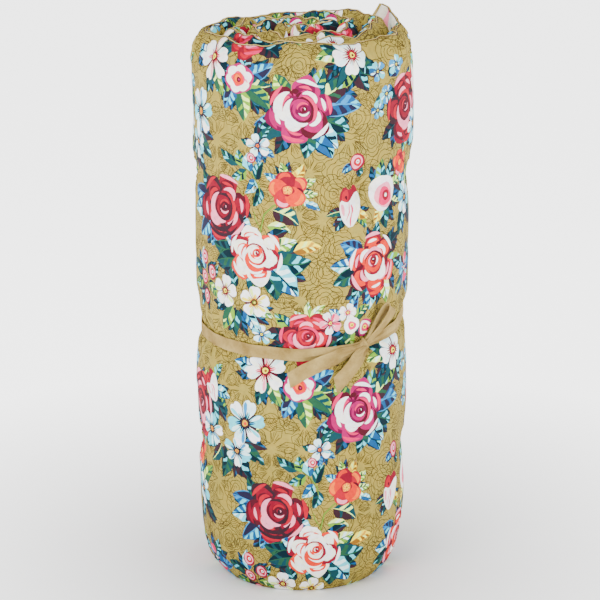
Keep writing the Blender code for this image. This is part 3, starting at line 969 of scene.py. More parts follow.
def make_cell():
    """The visible outlines and colours of one repeat of the print."""
    tile = draw_tile()
    x0, z0 = -206.0, 268.0
    x1, z1 = x0 + TILE_W, z0 + TILE_H
    verts = [Vector(p) for p in ((x0, z0), (x1, z0), (x1, z1), (x0, z1))]
    faces = [[0, 1, 2, 3]]
    cols = [C["ground"]]
    todo = []
    for order, (poly, col) in enumerate(tile):
        lo, hi = poly.min(0), poly.max(0)
        for tj in range(-2, 3):
            for ti in range(-2, 3):
                off = np.array([ti * TILE_W + tj * TILE_DX, -tj * TILE_H])
                l2, h2 = lo + off, hi + off
                if h2[0] < x0 or l2[0] > x1 or h2[1] < z0 or l2[1] > z1:
                    continue
                p = poly + off
                if l2[0] < x0 or h2[0] > x1 or l2[1] < z0 or h2[1] > z1:
                    p = clip_poly(p, x0, x1, z0, z1)
                if p is None:
                    continue
                q = np.roll(p, -1, 0)
                ar = (p[:, 0] * q[:, 1] - q[:, 0] * p[:, 1]).sum() / 2
                if abs(ar) < 0.01:
                    continue
                todo.append((order, p if ar > 0 else p[::-1], col))
    todo.sort(key=lambda t: t[0])
    for _, p, col in todo:
        i0 = len(verts)
        verts += [Vector((float(a), float(b))) for a, b in p]
        faces.append(list(range(i0, i0 + len(p))))
        cols.append(col)
    res = delaunay_2d_cdt(verts, [], faces, 0, 1e-5, True)
    pts = np.array([(v.x, v.y) for v in res[0]])
    tris = [f for f in res[2]]
    top = np.array([max(o) if o else 0 for o in res[5]], int)
    ids = {}
    cid = np.array([ids.setdefault(cols[t], len(ids)) for t in top])
    table_ = np.array(list(ids.keys()))
    # edges between two different colours are the ones that show
    edge = {}
    show = []
    for f, t in enumerate(tris):
        n = len(t)
        for q in range(n):
            a, b = t[q], t[(q + 1) % n]
            key = (a, b) if a < b else (b, a)
            other = edge.pop(key, None)
            if other is None:
                edge[key] = cid[f]
            elif other != cid[f]:
                show.append(key)
    near = {}
    for a, b in show:
        near.setdefault(a, []).append(b)
        near.setdefault(b, []).append(a)
    border = ((np.abs(pts[:, 0] - x0) < 1e-3) | (np.abs(pts[:, 0] - x1) < 1e-3)
              | (np.abs(pts[:, 1] - z0) < 1e-3)
              | (np.abs(pts[:, 1] - z1) < 1e-3))
    joint = {v for v, ns in near.items() if len(ns) != 2 or border[v]}
    used = set()
    segs = []

    def walk(a, b):
        chain = [a, b]
        used.add((min(a, b), max(a, b)))
        while chain[-1] not in joint:
            ns = near[chain[-1]]
            nxt = ns[0] if ns[0] != chain[-2] else ns[1]
            key = (min(chain[-1], nxt), max(chain[-1], nxt))
            if key in used:
                break
            used.add(key)
            chain.append(nxt)
        return chain
    chains = []
    for v in sorted(joint):
        for w in near[v]:
            if (min(v, w), max(v, w)) not in used:
                chains.append(walk(v, w))
    for a, b in sorted(show):
        if (a, b) not in used:
            chains.append(walk(a, b))
    for ch in chains:
        line = pts[ch]
        if ch[0] == ch[-1] and len(ch) > 4:
            h = len(ch) // 2
            parts = [line[:h + 1], line[h:]]
        else:
            parts = [line]
        for part in parts:
            c = simplify(part, 0.07)
            segs += [(c[i], c[i + 1]) for i in range(len(c) - 1)]
    from mathutils.bvhtree import BVHTree
    tree = BVHTree.FromPolygons([(x, y, 0.0) for x, y in pts], tris,
                                all_triangles=False)
    print("cell", len(tile), "polygons", len(tris), "faces", len(show),
          "edges kept", len(segs))
    return {"box": (x0, z0, x1, z1), "segs": np.array(segs), "tree": tree,
            "cid": cid, "cols": table_}


CELL = make_cell()


def cell_colour(x, z):
    """Colour of the cloth at unrolled millimetres X, Z."""
    x0, z0, x1, z1 = CELL["box"]
    tj = math.floor((z1 - z) / TILE_H)
    z = z + tj * TILE_H
    x = x - tj * TILE_DX
    x = x0 + (x - x0) % TILE_W
    z = min(max(z, z0 + 1e-4), z1 - 1e-4)
    x = min(max(x, x0 + 1e-4), x1 - 1e-4)
    hit = CELL["tree"].ray_cast((x, z, 1.0), (0, 0, -1))
    return CELL["cid"][hit[2]] if hit[2] is not None else 0


def to_cloth(x, z):
    """Unrolled millimetres to metres along and across the mat."""
    return (A_FRONT - x * ART_SCALE / 1000.0,
            0.3 + (z - 300.0) * ART_SCALE / 1000.0 + U_OFF)


def from_cloth(a, u):
    return ((A_FRONT - a) * 1000.0 / ART_SCALE,
            (u - U_OFF - 0.3) * 1000.0 / ART_SCALE + 300.0)


def art_edges(a0, a1, bands, shift=(0.0, 0.0)):
    out = []
    base = CELL["segs"].reshape(-1, 4) + np.array(list(shift) * 2)
    xa, _ = from_cloth(a0, 0)
    xb, _ = from_cloth(a1, 0)
    for tj in range(-3, 4):
        for ti in range(-9, 10):
            off = np.array([ti * TILE_W + tj * TILE_DX, -tj * TILE_H] * 2)
            sg = base + off
            a_, u_ = to_cloth(sg[:, 0::2], sg[:, 1::2])
            keep = (a_.max(1) > a0) & (a_.min(1) < a1)
            if not keep.any():
                continue
            a_, u_ = a_[keep], u_[keep]
            for b0, b1 in bands:
                m = (u_.max(1) > b0) & (u_.min(1) < b1)
                for (p0, p1), (q0, q1) in zip(a_[m], u_[m]):
                    t0, t1 = 0.0, 1.0
                    da, du = p1 - p0, q1 - q0
                    ok = True
                    for d, lo, hi, c in ((da, a0, a1, p0), (du, b0, b1, q0)):
                        if abs(d) < 1e-12:
                            ok = ok and lo <= c <= hi
                            continue
                        r0, r1 = (lo - c) / d, (hi - c) / d
                        if r0 > r1:
                            r0, r1 = r1, r0
                        t0, t1 = max(t0, r0), min(t1, r1)
                    if ok and t1 - t0 > 1e-6:
                        out.append((p0 + da * t0, q0 + du * t0,
                                    p0 + da * t1, q0 + du * t1))
    return out


def new_object(name, verts, faces, mat, smooth_shade=True):
    mesh = bpy.data.meshes.new(name)
    mesh.from_pydata([tuple(v) for v in verts], [], [tuple(f) for f in
                                                     faces])
    mesh.update()
    ob = bpy.data.objects.new(name, mesh)
    bpy.context.scene.collection.objects.link(ob)
    if smooth_shade:
        mesh.shade_smooth()
    if mat is not None:
        mesh.materials.append(mat)
    return ob


def printed_panel(name, side, a0, a1, bands, a_lines, u_lines, mat,
                  shift=(0.0, 0.0), extra=()):
    """Triangulated panel whose triangle edges follow the print."""
    edges_in = art_edges(a0, a1, bands, shift)
    verts, index, edges = [], {}, []

    def vid(a, u):
        key = (round(a * 5e5), round(u * 5e5))
        if key not in index:
            index[key] = len(verts)
            verts.append(Vector((a, u)))
        return index[key]
    for a in a_lines:
        for u in u_lines:
            vid(a, u)
    for a, u in extra:
        vid(a, u)
    for pa, pu, qa, qu in edges_in:
        i, j = vid(float(pa), float(pu)), vid(float(qa), float(qu))
        if i != j:
            edges.append((i, j))
    res = delaunay_2d_cdt(verts, edges, [], 0, 1e-7, False)
    pts = np.array([(v.x, v.y) for v in res[0]])
    tris = np.array([f for f in res[2] if len(f) == 3], int)
    ta, tu_ = pts[tris][:, :, 0], pts[tris][:, :, 1]
    tris = tris[(ta.max(1) > a0 + 3e-5) & (ta.min(1) < a1 - 3e-5) &
                (tu_.max(1) > 3e-5) & (tu_.min(1) < FACE_W - 3e-5)]
    used, back = np.unique(tris, return_inverse=True)
    pts = pts[used]
    tris = back.reshape(-1, 3)
    ctr = pts[tris].mean(1)
    cx, cz = from_cloth(ctr[:, 0], ctr[:, 1])
    inband = np.zeros(len(tris), bool)
    for b0, b1 in bands:
        inband |= (ctr[:, 1] > b0) & (ctr[:, 1] < b1)
    cid = np.zeros(len(tris), int)
    ground = int(np.argmin(np.abs(CELL["cols"] -
                                  np.array(C["ground"])).sum(1)))
    for i in range(len(tris)):
        cid[i] = cell_colour(cx[i] - shift[0], cz[i] - shift[1]) \
            if inband[i] else ground
    if side < 0:
        pink, rose_ = (int(np.argmin(np.abs(CELL["cols"] -
                                            np.array(C[c])).sum(1)))
                       for c in ("lpink", "blush"))
        ink = int(np.argmin(np.abs(CELL["cols"] -
                                   np.array(C["line"])).sum(1)))
        near = (ctr[:, 0] < 0.055) & (ctr[:, 1] > FACE_W - 0.06)
        cid[near & ((cid == ground) | (cid == ink))] = rose_
        cid[near & (ctr[:, 0] < 0.030)] = rose_
        cid[near & (ctr[:, 0] < 0.020) & (ctr[:, 0] > 0.012)] = pink
    k = k_of(pts[:, 0])
    xyz = mat_xyz(k, pts[:, 1], side)
    nrm = mat_normal(k, pts[:, 1], side)
    tri_n = np.cross(xyz[tris[:, 1]] - xyz[tris[:, 0]],
                     xyz[tris[:, 2]] - xyz[tris[:, 0]])
    if (tri_n * nrm[tris[:, 0]]).sum(1).mean() < 0:
        tris = tris[:, ::-1]
    mesh = bpy.data.meshes.new(name)
    mesh.vertices.add(len(xyz))
    mesh.vertices.foreach_set("co", xyz.astype(np.float32).ravel())
    mesh.loops.add(len(tris) * 3)
    mesh.loops.foreach_set("vertex_index", tris.astype(np.int32).ravel())
    mesh.polygons.add(len(tris))
    mesh.polygons.foreach_set("loop_start",
                              np.arange(0, len(tris) * 3, 3,
                                        dtype=np.int32))
    mesh.update(calc_edges=True)
    mesh.validate()
    ob = bpy.data.objects.new(name, mesh)
    bpy.context.scene.collection.objects.link(ob)
    mesh.shade_smooth()
    tri_cols = CELL["cols"][cid]
    rgba = np.ones((len(tris), 3, 4), np.float32)
    rgba[:, :, :3] = tri_cols[:, None, :]
    att = mesh.color_attributes.new("print", "FLOAT_COLOR", "CORNER")
    att.data.foreach_set("color", rgba.ravel())
    for uvname, sc in (("OFBake", (1 / max(a1 - a0, FACE_W),) * 2),
                       ("Cloth", (1.0, 1.0))):
        uv = mesh.uv_layers.new(name=uvname)
        co = pts[tris]
        co = (co - np.array([a0, 0])) * np.array(sc) if uvname == "OFBake" \
            else co
        uv.data.foreach_set("uv", co.astype(np.float32).ravel())
    mesh.uv_layers["OFBake"].active_render = True
    mesh.normals_split_custom_set_from_vertices(
        [tuple(v) for v in nrm])
    mesh.materials.append(mat)
    print("panel", name, "triangles", len(tris), "edges", len(edges))
    return ob


# --------------------------------------------------------------- materials
def node_mat(name):
    mat = bpy.data.materials.new(name)
    mat.use_nodes = True
    nt = mat.node_tree
    bsdf = nt.nodes["Principled BSDF"]
    return mat, nt, bsdf


def weave_height(nt, scale, uvmap=None, strength=1.0):
    """Plain weave: two crossed sets of rounded threads."""
    if uvmap:
        src = nt.nodes.new("ShaderNodeUVMap")
        src.uv_map = uvmap
        out = src.outputs["UV"]
    else:
        src = nt.nodes.new("ShaderNodeTexCoord")
        out = src.outputs["Object"]
    sep = nt.nodes.new("ShaderNodeSeparateXYZ")
    nt.links.new(out, sep.inputs[0])

    def wave(sock, phase_sock=None):
        m = nt.nodes.new("ShaderNodeMath")
        m.operation = "MULTIPLY"
        nt.links.new(sock, m.inputs[0])
        m.inputs[1].default_value = scale
        s = nt.nodes.new("ShaderNodeMath")
        s.operation = "SINE"
        nt.links.new(m.outputs[0], s.inputs[0])
        return s.outputs[0]
    a = wave(sep.outputs[0])
    b = wave(sep.outputs[1])
    mul = nt.nodes.new("ShaderNodeMath")
    mul.operation = "MULTIPLY"
    nt.links.new(a, mul.inputs[0])
    nt.links.new(b, mul.inputs[1])
    return mul.outputs[0]


def mix_colour(nt, kind, fac, a, b):
    m = nt.nodes.new("ShaderNodeMix")
    m.data_type = "RGBA"
    m.blend_type = kind
    m.clamp_result = False
    if isinstance(fac, float):
        m.inputs[0].default_value = fac
    else:
        nt.links.new(fac, m.inputs[0])
    for sock, v in ((m.inputs[6], a), (m.inputs[7], b)):
        if isinstance(v, tuple):
            sock.default_value = v + (1.0,) if len(v) == 3 else v
        else:
            nt.links.new(v, sock)
    return m.outputs[2]


def noise_tex(nt, scale, detail=3.0, rough=0.55, coord="Object"):
    tc = nt.nodes.new("ShaderNodeTexCoord")
    n = nt.nodes.new("ShaderNodeTexNoise")
    n.inputs["Scale"].default_value = scale
    n.inputs["Detail"].default_value = detail
    n.inputs["Roughness"].default_value = rough
    nt.links.new(tc.outputs[coord], n.inputs["Vector"])
    return n.outputs["Fac"]


def ramp(nt, fac, stops):
    r = nt.nodes.new("ShaderNodeValToRGB")
    els = r.color_ramp.elements
    els[0].position, els[0].color = stops[0][0], stops[0][1] + (1,)
    els[1].position, els[1].color = stops[-1][0], stops[-1][1] + (1,)
    for p, c in stops[1:-1]:
        e = els.new(p)
        e.color = c + (1,)
    nt.links.new(fac, r.inputs[0])
    return r.outputs[0]


def bump(nt, bsdf, parts):
    """Chain of bumps: (height socket, strength, distance)."""
    last = None
    for h, strength, dist in parts:
        b = nt.nodes.new("ShaderNodeBump")
        b.inputs["Strength"].default_value = strength
        b.inputs["Distance"].default_value = dist
        nt.links.new(h, b.inputs["Height"])
        if last is not None:
            nt.links.new(last, b.inputs["Normal"])
        last = b.outputs["Normal"]
    nt.links.new(last, bsdf.inputs["Normal"])


def print_material(name, uvmap="Cloth"):
    mat, nt, bsdf = node_mat(name)
    att = nt.nodes.new("ShaderNodeVertexColor")
    att.layer_name = "print"
    col = att.outputs["Color"]
    # painted-on unevenness of the ink, brush sized and cloth sized
    brush = noise_tex(nt, 210.0, 3.0, 0.62)
    shade = ramp(nt, brush, [(0.28, (0.62, 0.60, 0.64)),
                             (0.50, (1.0, 1.0, 1.0)),
                             (0.72, (1.30, 1.28, 1.22))])
    col = mix_colour(nt, "MULTIPLY", 0.42, col, shade)
    wash = noise_tex(nt, 70.0, 2.0, 0.5)
    tint = ramp(nt, wash, [(0.36, (0.94, 0.97, 1.06)),
                           (0.64, (1.07, 1.01, 0.92))])
    col = mix_colour(nt, "MULTIPLY", 0.6, col, tint)
    broad = noise_tex(nt, 9.0, 3.0, 0.5)
    wear = ramp(nt, broad, [(0.3, (0.93, 0.93, 0.95)),
                            (0.7, (1.05, 1.04, 1.02))])
    col = mix_colour(nt, "MULTIPLY", 0.6, col, wear)
    thread = weave_height(nt, TAU / 0.0009, uvmap)
    # painted shade: the colour is darker where the weave is low, between the threads
    tone = ramp(nt, thread, [(0.0, (0.93, 0.93, 0.93)),
                             (1.0, (1.03, 1.03, 1.03))])
    col = mix_colour(nt, "MULTIPLY", 0.5, col, tone)
    nt.links.new(col, bsdf.inputs["Base Color"])
    rr = ramp(nt, noise_tex(nt, 60.0), [(0.3, (0.72,) * 3),
                                        (0.7, (0.86,) * 3)])
    nt.links.new(rr, bsdf.inputs["Roughness"])
    bsdf.inputs["Specular IOR Level"].default_value = 0.10
    bsdf.inputs["Sheen Weight"].default_value = 0.0
    bsdf.inputs["Sheen Roughness"].default_value = 0.5
    crumple = noise_tex(nt, 55.0, 3.0, 0.5)
    bump(nt, bsdf, [(crumple, 0.25, 0.0020), (thread, 0.25, 0.0002)])
    return mat


def cloth_material(name, base, dark, scale=TAU / 0.0010, uvmap=None,
                   sheen=0.0, rough=0.88):
    mat, nt, bsdf = node_mat(name)
    n1 = noise_tex(nt, 45.0, 4.0, 0.6)
    col = ramp(nt, n1, [(0.30, dark), (0.62, base)])
    slub = noise_tex(nt, 420.0, 2.0, 0.7)
    tone = ramp(nt, slub, [(0.3, (0.86, 0.86, 0.86)),
                           (0.7, (1.08, 1.08, 1.06))])
    col = mix_colour(nt, "MULTIPLY", 0.7, col, tone)
    thread = weave_height(nt, scale, uvmap)
    # painted shade: darker where the weave is low, between the threads
    thread_shade = ramp(nt, thread, [(0.0, (0.88, 0.88, 0.88)),
                              (1.0, (1.05, 1.05, 1.05))])
    col = mix_colour(nt, "MULTIPLY", 0.6, col, thread_shade)
    nt.links.new(col, bsdf.inputs["Base Color"])
    rr = ramp(nt, slub, [(0.3, (rough - 0.06,) * 3),
                         (0.7, (min(1.0, rough + 0.06),) * 3)])
    nt.links.new(rr, bsdf.inputs["Roughness"])
    bsdf.inputs["Sheen Weight"].default_value = sheen
    bsdf.inputs["Specular IOR Level"].default_value = 0.10
    bump(nt, bsdf, [(slub, 0.3, 0.0004), (thread, 0.5, 0.0003)])
    return mat


M_PRINT = print_material("printed_cotton")
M_WELT = cloth_material("seam_cotton_mat", C["weltc"], C["ground"])
# the piping's flanks and underside: painted shade where the seam dips beside the piping
M_WELT_SHADE = cloth_material("seam_painted_shade", C["welt_shade"], C["maroon"])
M_TAPE = cloth_material("tape_cotton", C["tape"], C["taped"],
                        TAU / 0.0011, "Cloth", 0.0, 0.9)
M_WAD = cloth_material("wadding_fibre", rgb(240, 238, 230),
                       rgb(222, 219, 208), TAU / 0.004)
M_THREAD = cloth_material("tuft_thread", C["tape"], C["taped"],
                          TAU / 0.0006)


# ------------------------------------------------------------ build the mat
def spaced(a, b, step):
    n = max(1, int(round((b - a) / step)))
    return [a + (b - a) * i / n for i in range(n + 1)]


def build_panels():
    rim = 0.085
    fine_u = (spaced(0, 0.045, 0.003)[:-1] + spaced(0.045, 0.545, 0.005)[:-1]
              + spaced(0.545, FACE_W, 0.003))
    a_end = float(a_of(SEG + 0.4))
    outer = printed_panel("outer_panel", 1, 0.0, a_end, [(0, FACE_W)],
                          spaced(0, a_end, 0.005), fine_u, M_PRINT)
    far = float(a_of(LAST))
    rim_u = (spaced(0, 0.045, 0.0045)[:-1] + spaced(0.045, 0.10, 0.014)[:-1]
             + spaced(0.10, 0.50, 0.08)[:-1] + spaced(0.50, 0.56, 0.015)[:-1]
             + spaced(0.56, FACE_W, 0.0035))
    # closer points where the thin free end is drawn in by the tie and tufts
    near_end = [(a, u) for a in spaced(0.0, 0.126, 0.006)
                for u in spaced(0.020, 0.600, 0.007)]
    under_end = [(a_end + a, u) for a in spaced(0.0, 0.120, 0.006)
                 for u in spaced(0.020, 0.590, 0.007)]
    inner_turns = printed_panel("outer_panel_inner_turns", 1, a_end, far,
                                [(0.0, 0.014), (FACE_W - 0.050, FACE_W)], spaced(a_end, far, 0.006), rim_u,
                                M_PRINT, extra=under_end)
    lining = printed_panel("inner_panel", -1, 0.0, far,
                           [(0.0, 0.014), (FACE_W - 0.050, FACE_W)],
                           spaced(0, far, 0.006), rim_u, M_PRINT,
                           (40.0, 34.0), near_end)
    return outer, inner_turns, lining


def tube_grid(rows, closed_ends=True):
    """Mesh from rows of closed rings."""
    n = len(rows[0])
    verts = [p for row in rows for p in row]
    faces = []
    for i in range(len(rows) - 1):
        for j in range(n):
            j2 = (j + 1) % n
            faces.append((i * n + j, i * n + j2, (i + 1) * n + j2,
                          (i + 1) * n + j))
    if closed_ends:
        faces.append(tuple(range(n - 1, -1, -1)))
        faces.append(tuple((len(rows) - 1) * n + j for j in range(n)))
    return verts, faces


def cloth_uv(ob, su=1.0, sv=1.0, name="Cloth"):
    """Box-projected metres, enough for a weave."""
    mesh = ob.data
    uv = mesh.uv_layers.new(name=name)
    for poly in mesh.polygons:
        for li in poly.loop_indices:
            co = mesh.vertices[mesh.loops[li].vertex_index].co
            uv.data[li].uv = (co.x + co.y, co.z)
    return uv


def welt(name, top, k0=0.0, k1=LAST, mat=M_WELT):
    """Piping of two thin ridges along a long seam, its flanks in painted shade."""
    ks = np.linspace(k0 + 0.02, k1 - 0.02, 900)
    u = np.full_like(ks, FACE_W if top else 0.0)
    a = mat_xyz(ks, u, 1)
    b = mat_xyz(ks, u, -1)
    c = (a + b) / 2
    tang = np.gradient(c, axis=0)
    tang /= np.linalg.norm(tang, axis=1, keepdims=True)
    up = np.array([0, 0, 1.0 if top else -1.0])
    across = np.cross(tang, up)
    across /= np.linalg.norm(across, axis=1, keepdims=True)
    h = 0.0009 if top else 0.0008
    w = 0.0008
    shape = [(-1.2, -0.4), (-1.35, 0.05), (-1.05, 0.45), (-0.62, 0.30),
             (-0.50, 0.85), (-0.22, 1.25), (0.22, 1.25), (0.50, 0.85),
             (0.62, 0.30), (1.05, 0.45), (1.35, 0.05), (1.2, -0.4)]
    lean = 0.8 * noise1(ks * 2.4, 51, 2)
    rows = []
    for i in range(len(ks)):
        row = []
        for x, y in shape:
            off = across[i] * (x * w + lean[i] * y * h * 0.5) + up * y * h
            row.append(c[i] + off)
        rows.append(row)
    verts, faces = tube_grid(rows)
    if top is False:
        verts = [np.array([v[0], v[1], max(v[2], 0.0002)]) for v in verts]
    ob = new_object(name, verts, faces, mat)
    # crest faces keep the cream piping colour; the flanks and underside get painted shade of the seam
    ob.data.materials.append(M_WELT_SHADE)
    for i, poly in enumerate(ob.data.polygons):
        poly.material_index = 0 if 3 <= i % len(shape) <= 7 else 1
    cloth_uv(ob)
    return ob


def end_welt(name, k_end, outward, mat=M_PRINT):
    us = np.linspace(0, FACE_W, 160)
    kk = np.full_like(us, k_end)
    a = mat_xyz(kk, us, 1)
    b = mat_xyz(kk, us, -1)
    c = (a + b) / 2
    nb = mat_xyz(kk - outward * 0.3, us, 1)
    out_dir = a - nb
    out_dir /= np.linalg.norm(out_dir, axis=1, keepdims=True)
    nrm = a - b
    nrm /= np.linalg.norm(nrm, axis=1, keepdims=True)
    rows = []
    for i in range(len(us)):
        half = np.linalg.norm(a[i] - b[i]) / 2 + 0.0002
        row = []
        for x, y in ((-1, -0.4), (-0.98, 0.5), (-0.6, 1.0), (0.0, 1.15),
                     (0.6, 1.0), (0.98, 0.5), (1, -0.4)):
            row.append(c[i] + nrm[i] * half * x + out_dir[i] * 0.0032 * y)
        rows.append(row)
    verts, faces = tube_grid(rows)
    ob = new_object(name, verts, faces, mat)
    cloth_uv(ob)
    return ob


def wadding():
    ks = np.linspace(0.6, LAST - 0.6, 440)
    us = np.concatenate([np.linspace(0.006, 0.05, 8)[:-1],
                         np.linspace(0.05, 0.56, 76)[:-1],
                         np.linspace(0.56, FACE_W - 0.006, 8)])
    K, U = np.meshgrid(ks, us, indexing="ij")
    inset = 0.0030
    a = mat_xyz(K, U, 1, inset)
    b = mat_xyz(K, U, -1, inset)
    nu, nv = K.shape
    verts = list(a.reshape(-1, 3)) + list(b.reshape(-1, 3))
    n = nu * nv
    faces = []
    for i in range(nu - 1):
        for j in range(nv - 1):
            p, q, r, s = (i * nv + j, i * nv + j + 1, (i + 1) * nv + j + 1,
                          (i + 1) * nv + j)
            faces.append((p, q, r, s))
            faces.append((n + p, n + s, n + r, n + q))
        faces.append((i * nv, (i + 1) * nv, n + (i + 1) * nv, n + i * nv))
        e = nv - 1
        faces.append((i * nv + e, n + i * nv + e, n + (i + 1) * nv + e,
                      (i + 1) * nv + e))
    for j in range(nv - 1):
        faces.append((j, n + j, n + j + 1, j + 1))
        e = (nu - 1) * nv
        faces.append((e + j, e + j + 1, n + e + j + 1, n + e + j))
    return new_object("wadding", verts, faces, M_WAD)


outer, inner_turns, lining = build_panels()
top_welt = welt("top_welt", True)
low_welt = welt("bottom_welt", False)
outer_end = end_welt("outer_end_welt", 0.0, -1, M_WELT)
inner_end = end_welt("inner_end_welt", float(LAST), 1, M_WELT)
core = wadding()

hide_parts("outer_cover")
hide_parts("inner_cover")
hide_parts("top_seam_welt")
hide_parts("bottom_seam_welt")
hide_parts("outer_end_seam")
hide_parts("inner_end_seam")
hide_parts("wadding_core")
for ob, slot in ((outer, "print_cotton"), (inner_turns, "print_cotton"),
                 (lining, "print_cotton"), (top_welt, "seam_cotton"),
                 (low_welt, "seam_cotton"), (outer_end, "seam_cotton"),
                 (inner_end, "seam_cotton"), (core, "wadding")):
    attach(ob, "pad")


# ------------------------------------------------------------------- tufts
def tuft_thread(name, k, z):
    """Two crossed turns of thick thread drawn down into the dimple."""
    p, n = skin(np.array([PHI0 - k * STEP]), np.array([z]))
    p, n = p[0], n[0]
    u = np.cross([0, 0, 1.0], n)
    u /= np.linalg.norm(u)
    w = np.cross(n, u)
    verts, faces = [], []
    for q, (dx, dz, off) in enumerate(((1, 0.25, 0), (1, -0.30, 0.4),
                                       (0.15, 1, 0.8))):
        d = u * dx + w * dz
        d /= np.linalg.norm(d)
        s = np.cross(n, d)
        rows = []
        for i in range(9):
            t = -1 + 2 * i / 8
            c = p + d * t * 0.0034 + n * (0.0009 * (1 - t * t) + off * 0.0005
                                          - 0.0003)
            rr = 0.00065 * (1 - 0.25 * t * t)
            rows.append([c + s * rr * math.cos(TAU * j / 6) +
                         n * rr * math.sin(TAU * j / 6) for j in range(6)])
        v, f = tube_grid(rows)
        base = len(verts)
        verts += v
        faces += [tuple(base + x for x in ff) for ff in f]
    return new_object(name, verts, faces, M_THREAD)


for node, k, z in TUFT_AT:
    ob = tuft_thread(node + "_thread", k, z)
    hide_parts(node)
    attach(ob, "pad")


# --------------------------------------------------------------------- tie
def ribbon(name, centres, sides, normals, widths, fold, thick=0.0007,
           cols=15, mat=M_TAPE):
    """Tape with creases along it: fold(t, v) is its height above the path."""
    n = len(centres)
    front, back = [], []
    length = [0.0]
    for i in range(1, n):
        length.append(length[-1] + float(np.linalg.norm(
            centres[i] - centres[i - 1])))
    for i in range(n):
        t = i / (n - 1)
        for j in range(cols):
            v = -1 + 2 * j / (cols - 1)
            base = centres[i] + sides[i] * v * widths[i] / 2
            h = fold(t, v)
            front.append(base + normals[i] * (h + thick / 2))
            back.append(base + normals[i] * (h - thick / 2))
    m = n * cols
    verts = front + back
    faces = []
    for i in range(n - 1):
        for j in range(cols - 1):
            p, q = i * cols + j, i * cols + j + 1
            r, s = (i + 1) * cols + j + 1, (i + 1) * cols + j
            faces.append((p, s, r, q))
            faces.append((m + p, m + q, m + r, m + s))
        p, s = i * cols, (i + 1) * cols
        faces.append((p, m + p, m + s, s))
        p, s = i * cols + cols - 1, (i + 1) * cols + cols - 1
        faces.append((p, s, m + s, m + p))
    for j in range(cols - 1):
        faces.append((j, j + 1, m + j + 1, m + j))
        e = (n - 1) * cols
        faces.append((e + j, m + e + j, m + e + j + 1, e + j + 1))
    ob = new_object(name, verts, faces, mat)
    mesh = ob.data
    uv = mesh.uv_layers.new(name="Cloth")
    for poly in mesh.polygons:
        for li in poly.loop_indices:
            vi = mesh.loops[li].vertex_index % m
            i, j = divmod(vi, cols)
            uv.data[li].uv = (length[i], widths[i] * j / (cols - 1))
    mesh.set_sharp_from_angle(angle=math.radians(50))
    return ob, length[-1]


def unit(v):
    return v / (np.linalg.norm(v) + 1e-12)


def tri(x):
    """Folded-flat wave: straight flanks, sharp ridges, -1 to 1."""
    return 2 / math.pi * math.asin(0.985 * math.sin(x))


def catmull(points, n):
    """Smooth curve through control points."""
    p = np.array(points, float)
    p = np.vstack([2 * p[0] - p[1], p, 2 * p[-1] - p[-2]])
    m = len(p) - 3
    out = []
    for i in range(n):
        x = i / (n - 1) * m
        s = min(int(x), m - 1)
        t = x - s
        a, b, c, d = p[s:s + 4]
        out.append(0.5 * ((2 * b) + (-a + c) * t + (2 * a - 5 * b + 4 * c -
                                                   d) * t * t +
                          (-a + 3 * b - 3 * c + d) * t ** 3))
    return np.array(out)


KNOT_P, KNOT_N = skin(np.array([KNOT_PHI]), np.array([0.2800]))
KNOT_P, KNOT_N = KNOT_P[0], unit(KNOT_N[0])
KNOT_N = unit(np.array([math.cos(KNOT_PHI), math.sin(KNOT_PHI), 0]))
KNOT_U = unit(np.array([-math.sin(KNOT_PHI), math.cos(KNOT_PHI), 0]))
KNOT_C = KNOT_P + KNOT_N * 0.0044


def high_cloth(phi, z, reach):
    """Radius of the highest cloth within reach of a point on the roll."""
    zs = np.linspace(-reach, reach, 7)
    ps = np.array([-0.8, -0.4, 0, 0.5]) * reach / ROLL_R
    Z, P = np.meshgrid(z + zs, phi + ps)
    k = ((PHI0 - P) / STEP) % SEG
    xyz = mat_xyz(k.ravel(), Z.ravel() + U_OFF, 1)
    return float(np.hypot(xyz[:, 0] - AXIS[0], xyz[:, 1] - AXIS[1]).max())


def over(phi, z, lift, reach=0.006):
    r = high_cloth(phi, z, reach) + lift
    n = np.array([math.cos(phi), math.sin(phi), 0.0])
    return np.array([AXIS[0] + r * n[0], AXIS[1] + r * n[1], z]), n


def on_roll(du, dz, lift, reach=0.006):
    """Point over the roll at an offset from the knot, in metres."""
    return over(KNOT_PHI + du / ROLL_R, KNOT_Z + dz, lift, reach)


def tie_band():
    n = 260
    start = KNOT_PHI - 0.030
    end = KNOT_PHI + 0.030 - TAU
    centres, normals, widths = [], [], []
    for i in range(n):
        t = i / (n - 1)
        phi = start + (end - start) * t
        z = float(tie_z(phi))
        near = math.exp(-(t / 0.055) ** 2) + math.exp(-((1 - t) / 0.05) ** 2)
        p, nn = over(phi, z, 0.0008 + 0.0026 * near)
        centres.append(p)
        normals.append(nn)
        w = 0.0135 * (1 - 0.40 * near)
        widths.append(w)
    centres = np.array(centres)
    # a pulled tape bridges the hollows and lies over the bumps
    raw = np.hypot(centres[:, 0] - AXIS[0], centres[:, 1] - AXIS[1])
    for _ in range(10):
        centres[1:-1] = (centres[:-2] + centres[1:-1] * 2 + centres[2:]) / 4
        flat = centres[:, :2] - AXIS
        push = np.maximum(raw / np.hypot(flat[:, 0], flat[:, 1]), 1.0)
        centres[:, :2] = AXIS + flat * push[:, None]
    sides = []
    for i in range(n):
        tan = unit(centres[min(n - 1, i + 1)] - centres[max(0, i - 1)])
        sides.append(unit(np.cross(normals[i], tan)))

    def fold(t, v):
        near = math.exp(-(t / 0.12) ** 2) + math.exp(-((1 - t) / 0.09) ** 2)
        lines = 0.0012 * near * tri(v * 4.6 + t * 9)
        lines += 0.0005 * near * tri(v * 9.0 - t * 14)
        roll = 0.0004 * tri(v * 1.8 + 26 * t) * math.sin(t * 41)
        curl = 0.0004 * (v * v) * (0.4 + 0.6 * math.sin(t * 37))
        return lines + roll - curl
    return ribbon("tie_band_tape", centres, sides, normals, widths, fold)


band, band_len = tie_band()
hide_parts("tie_band")
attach(band, "pad")


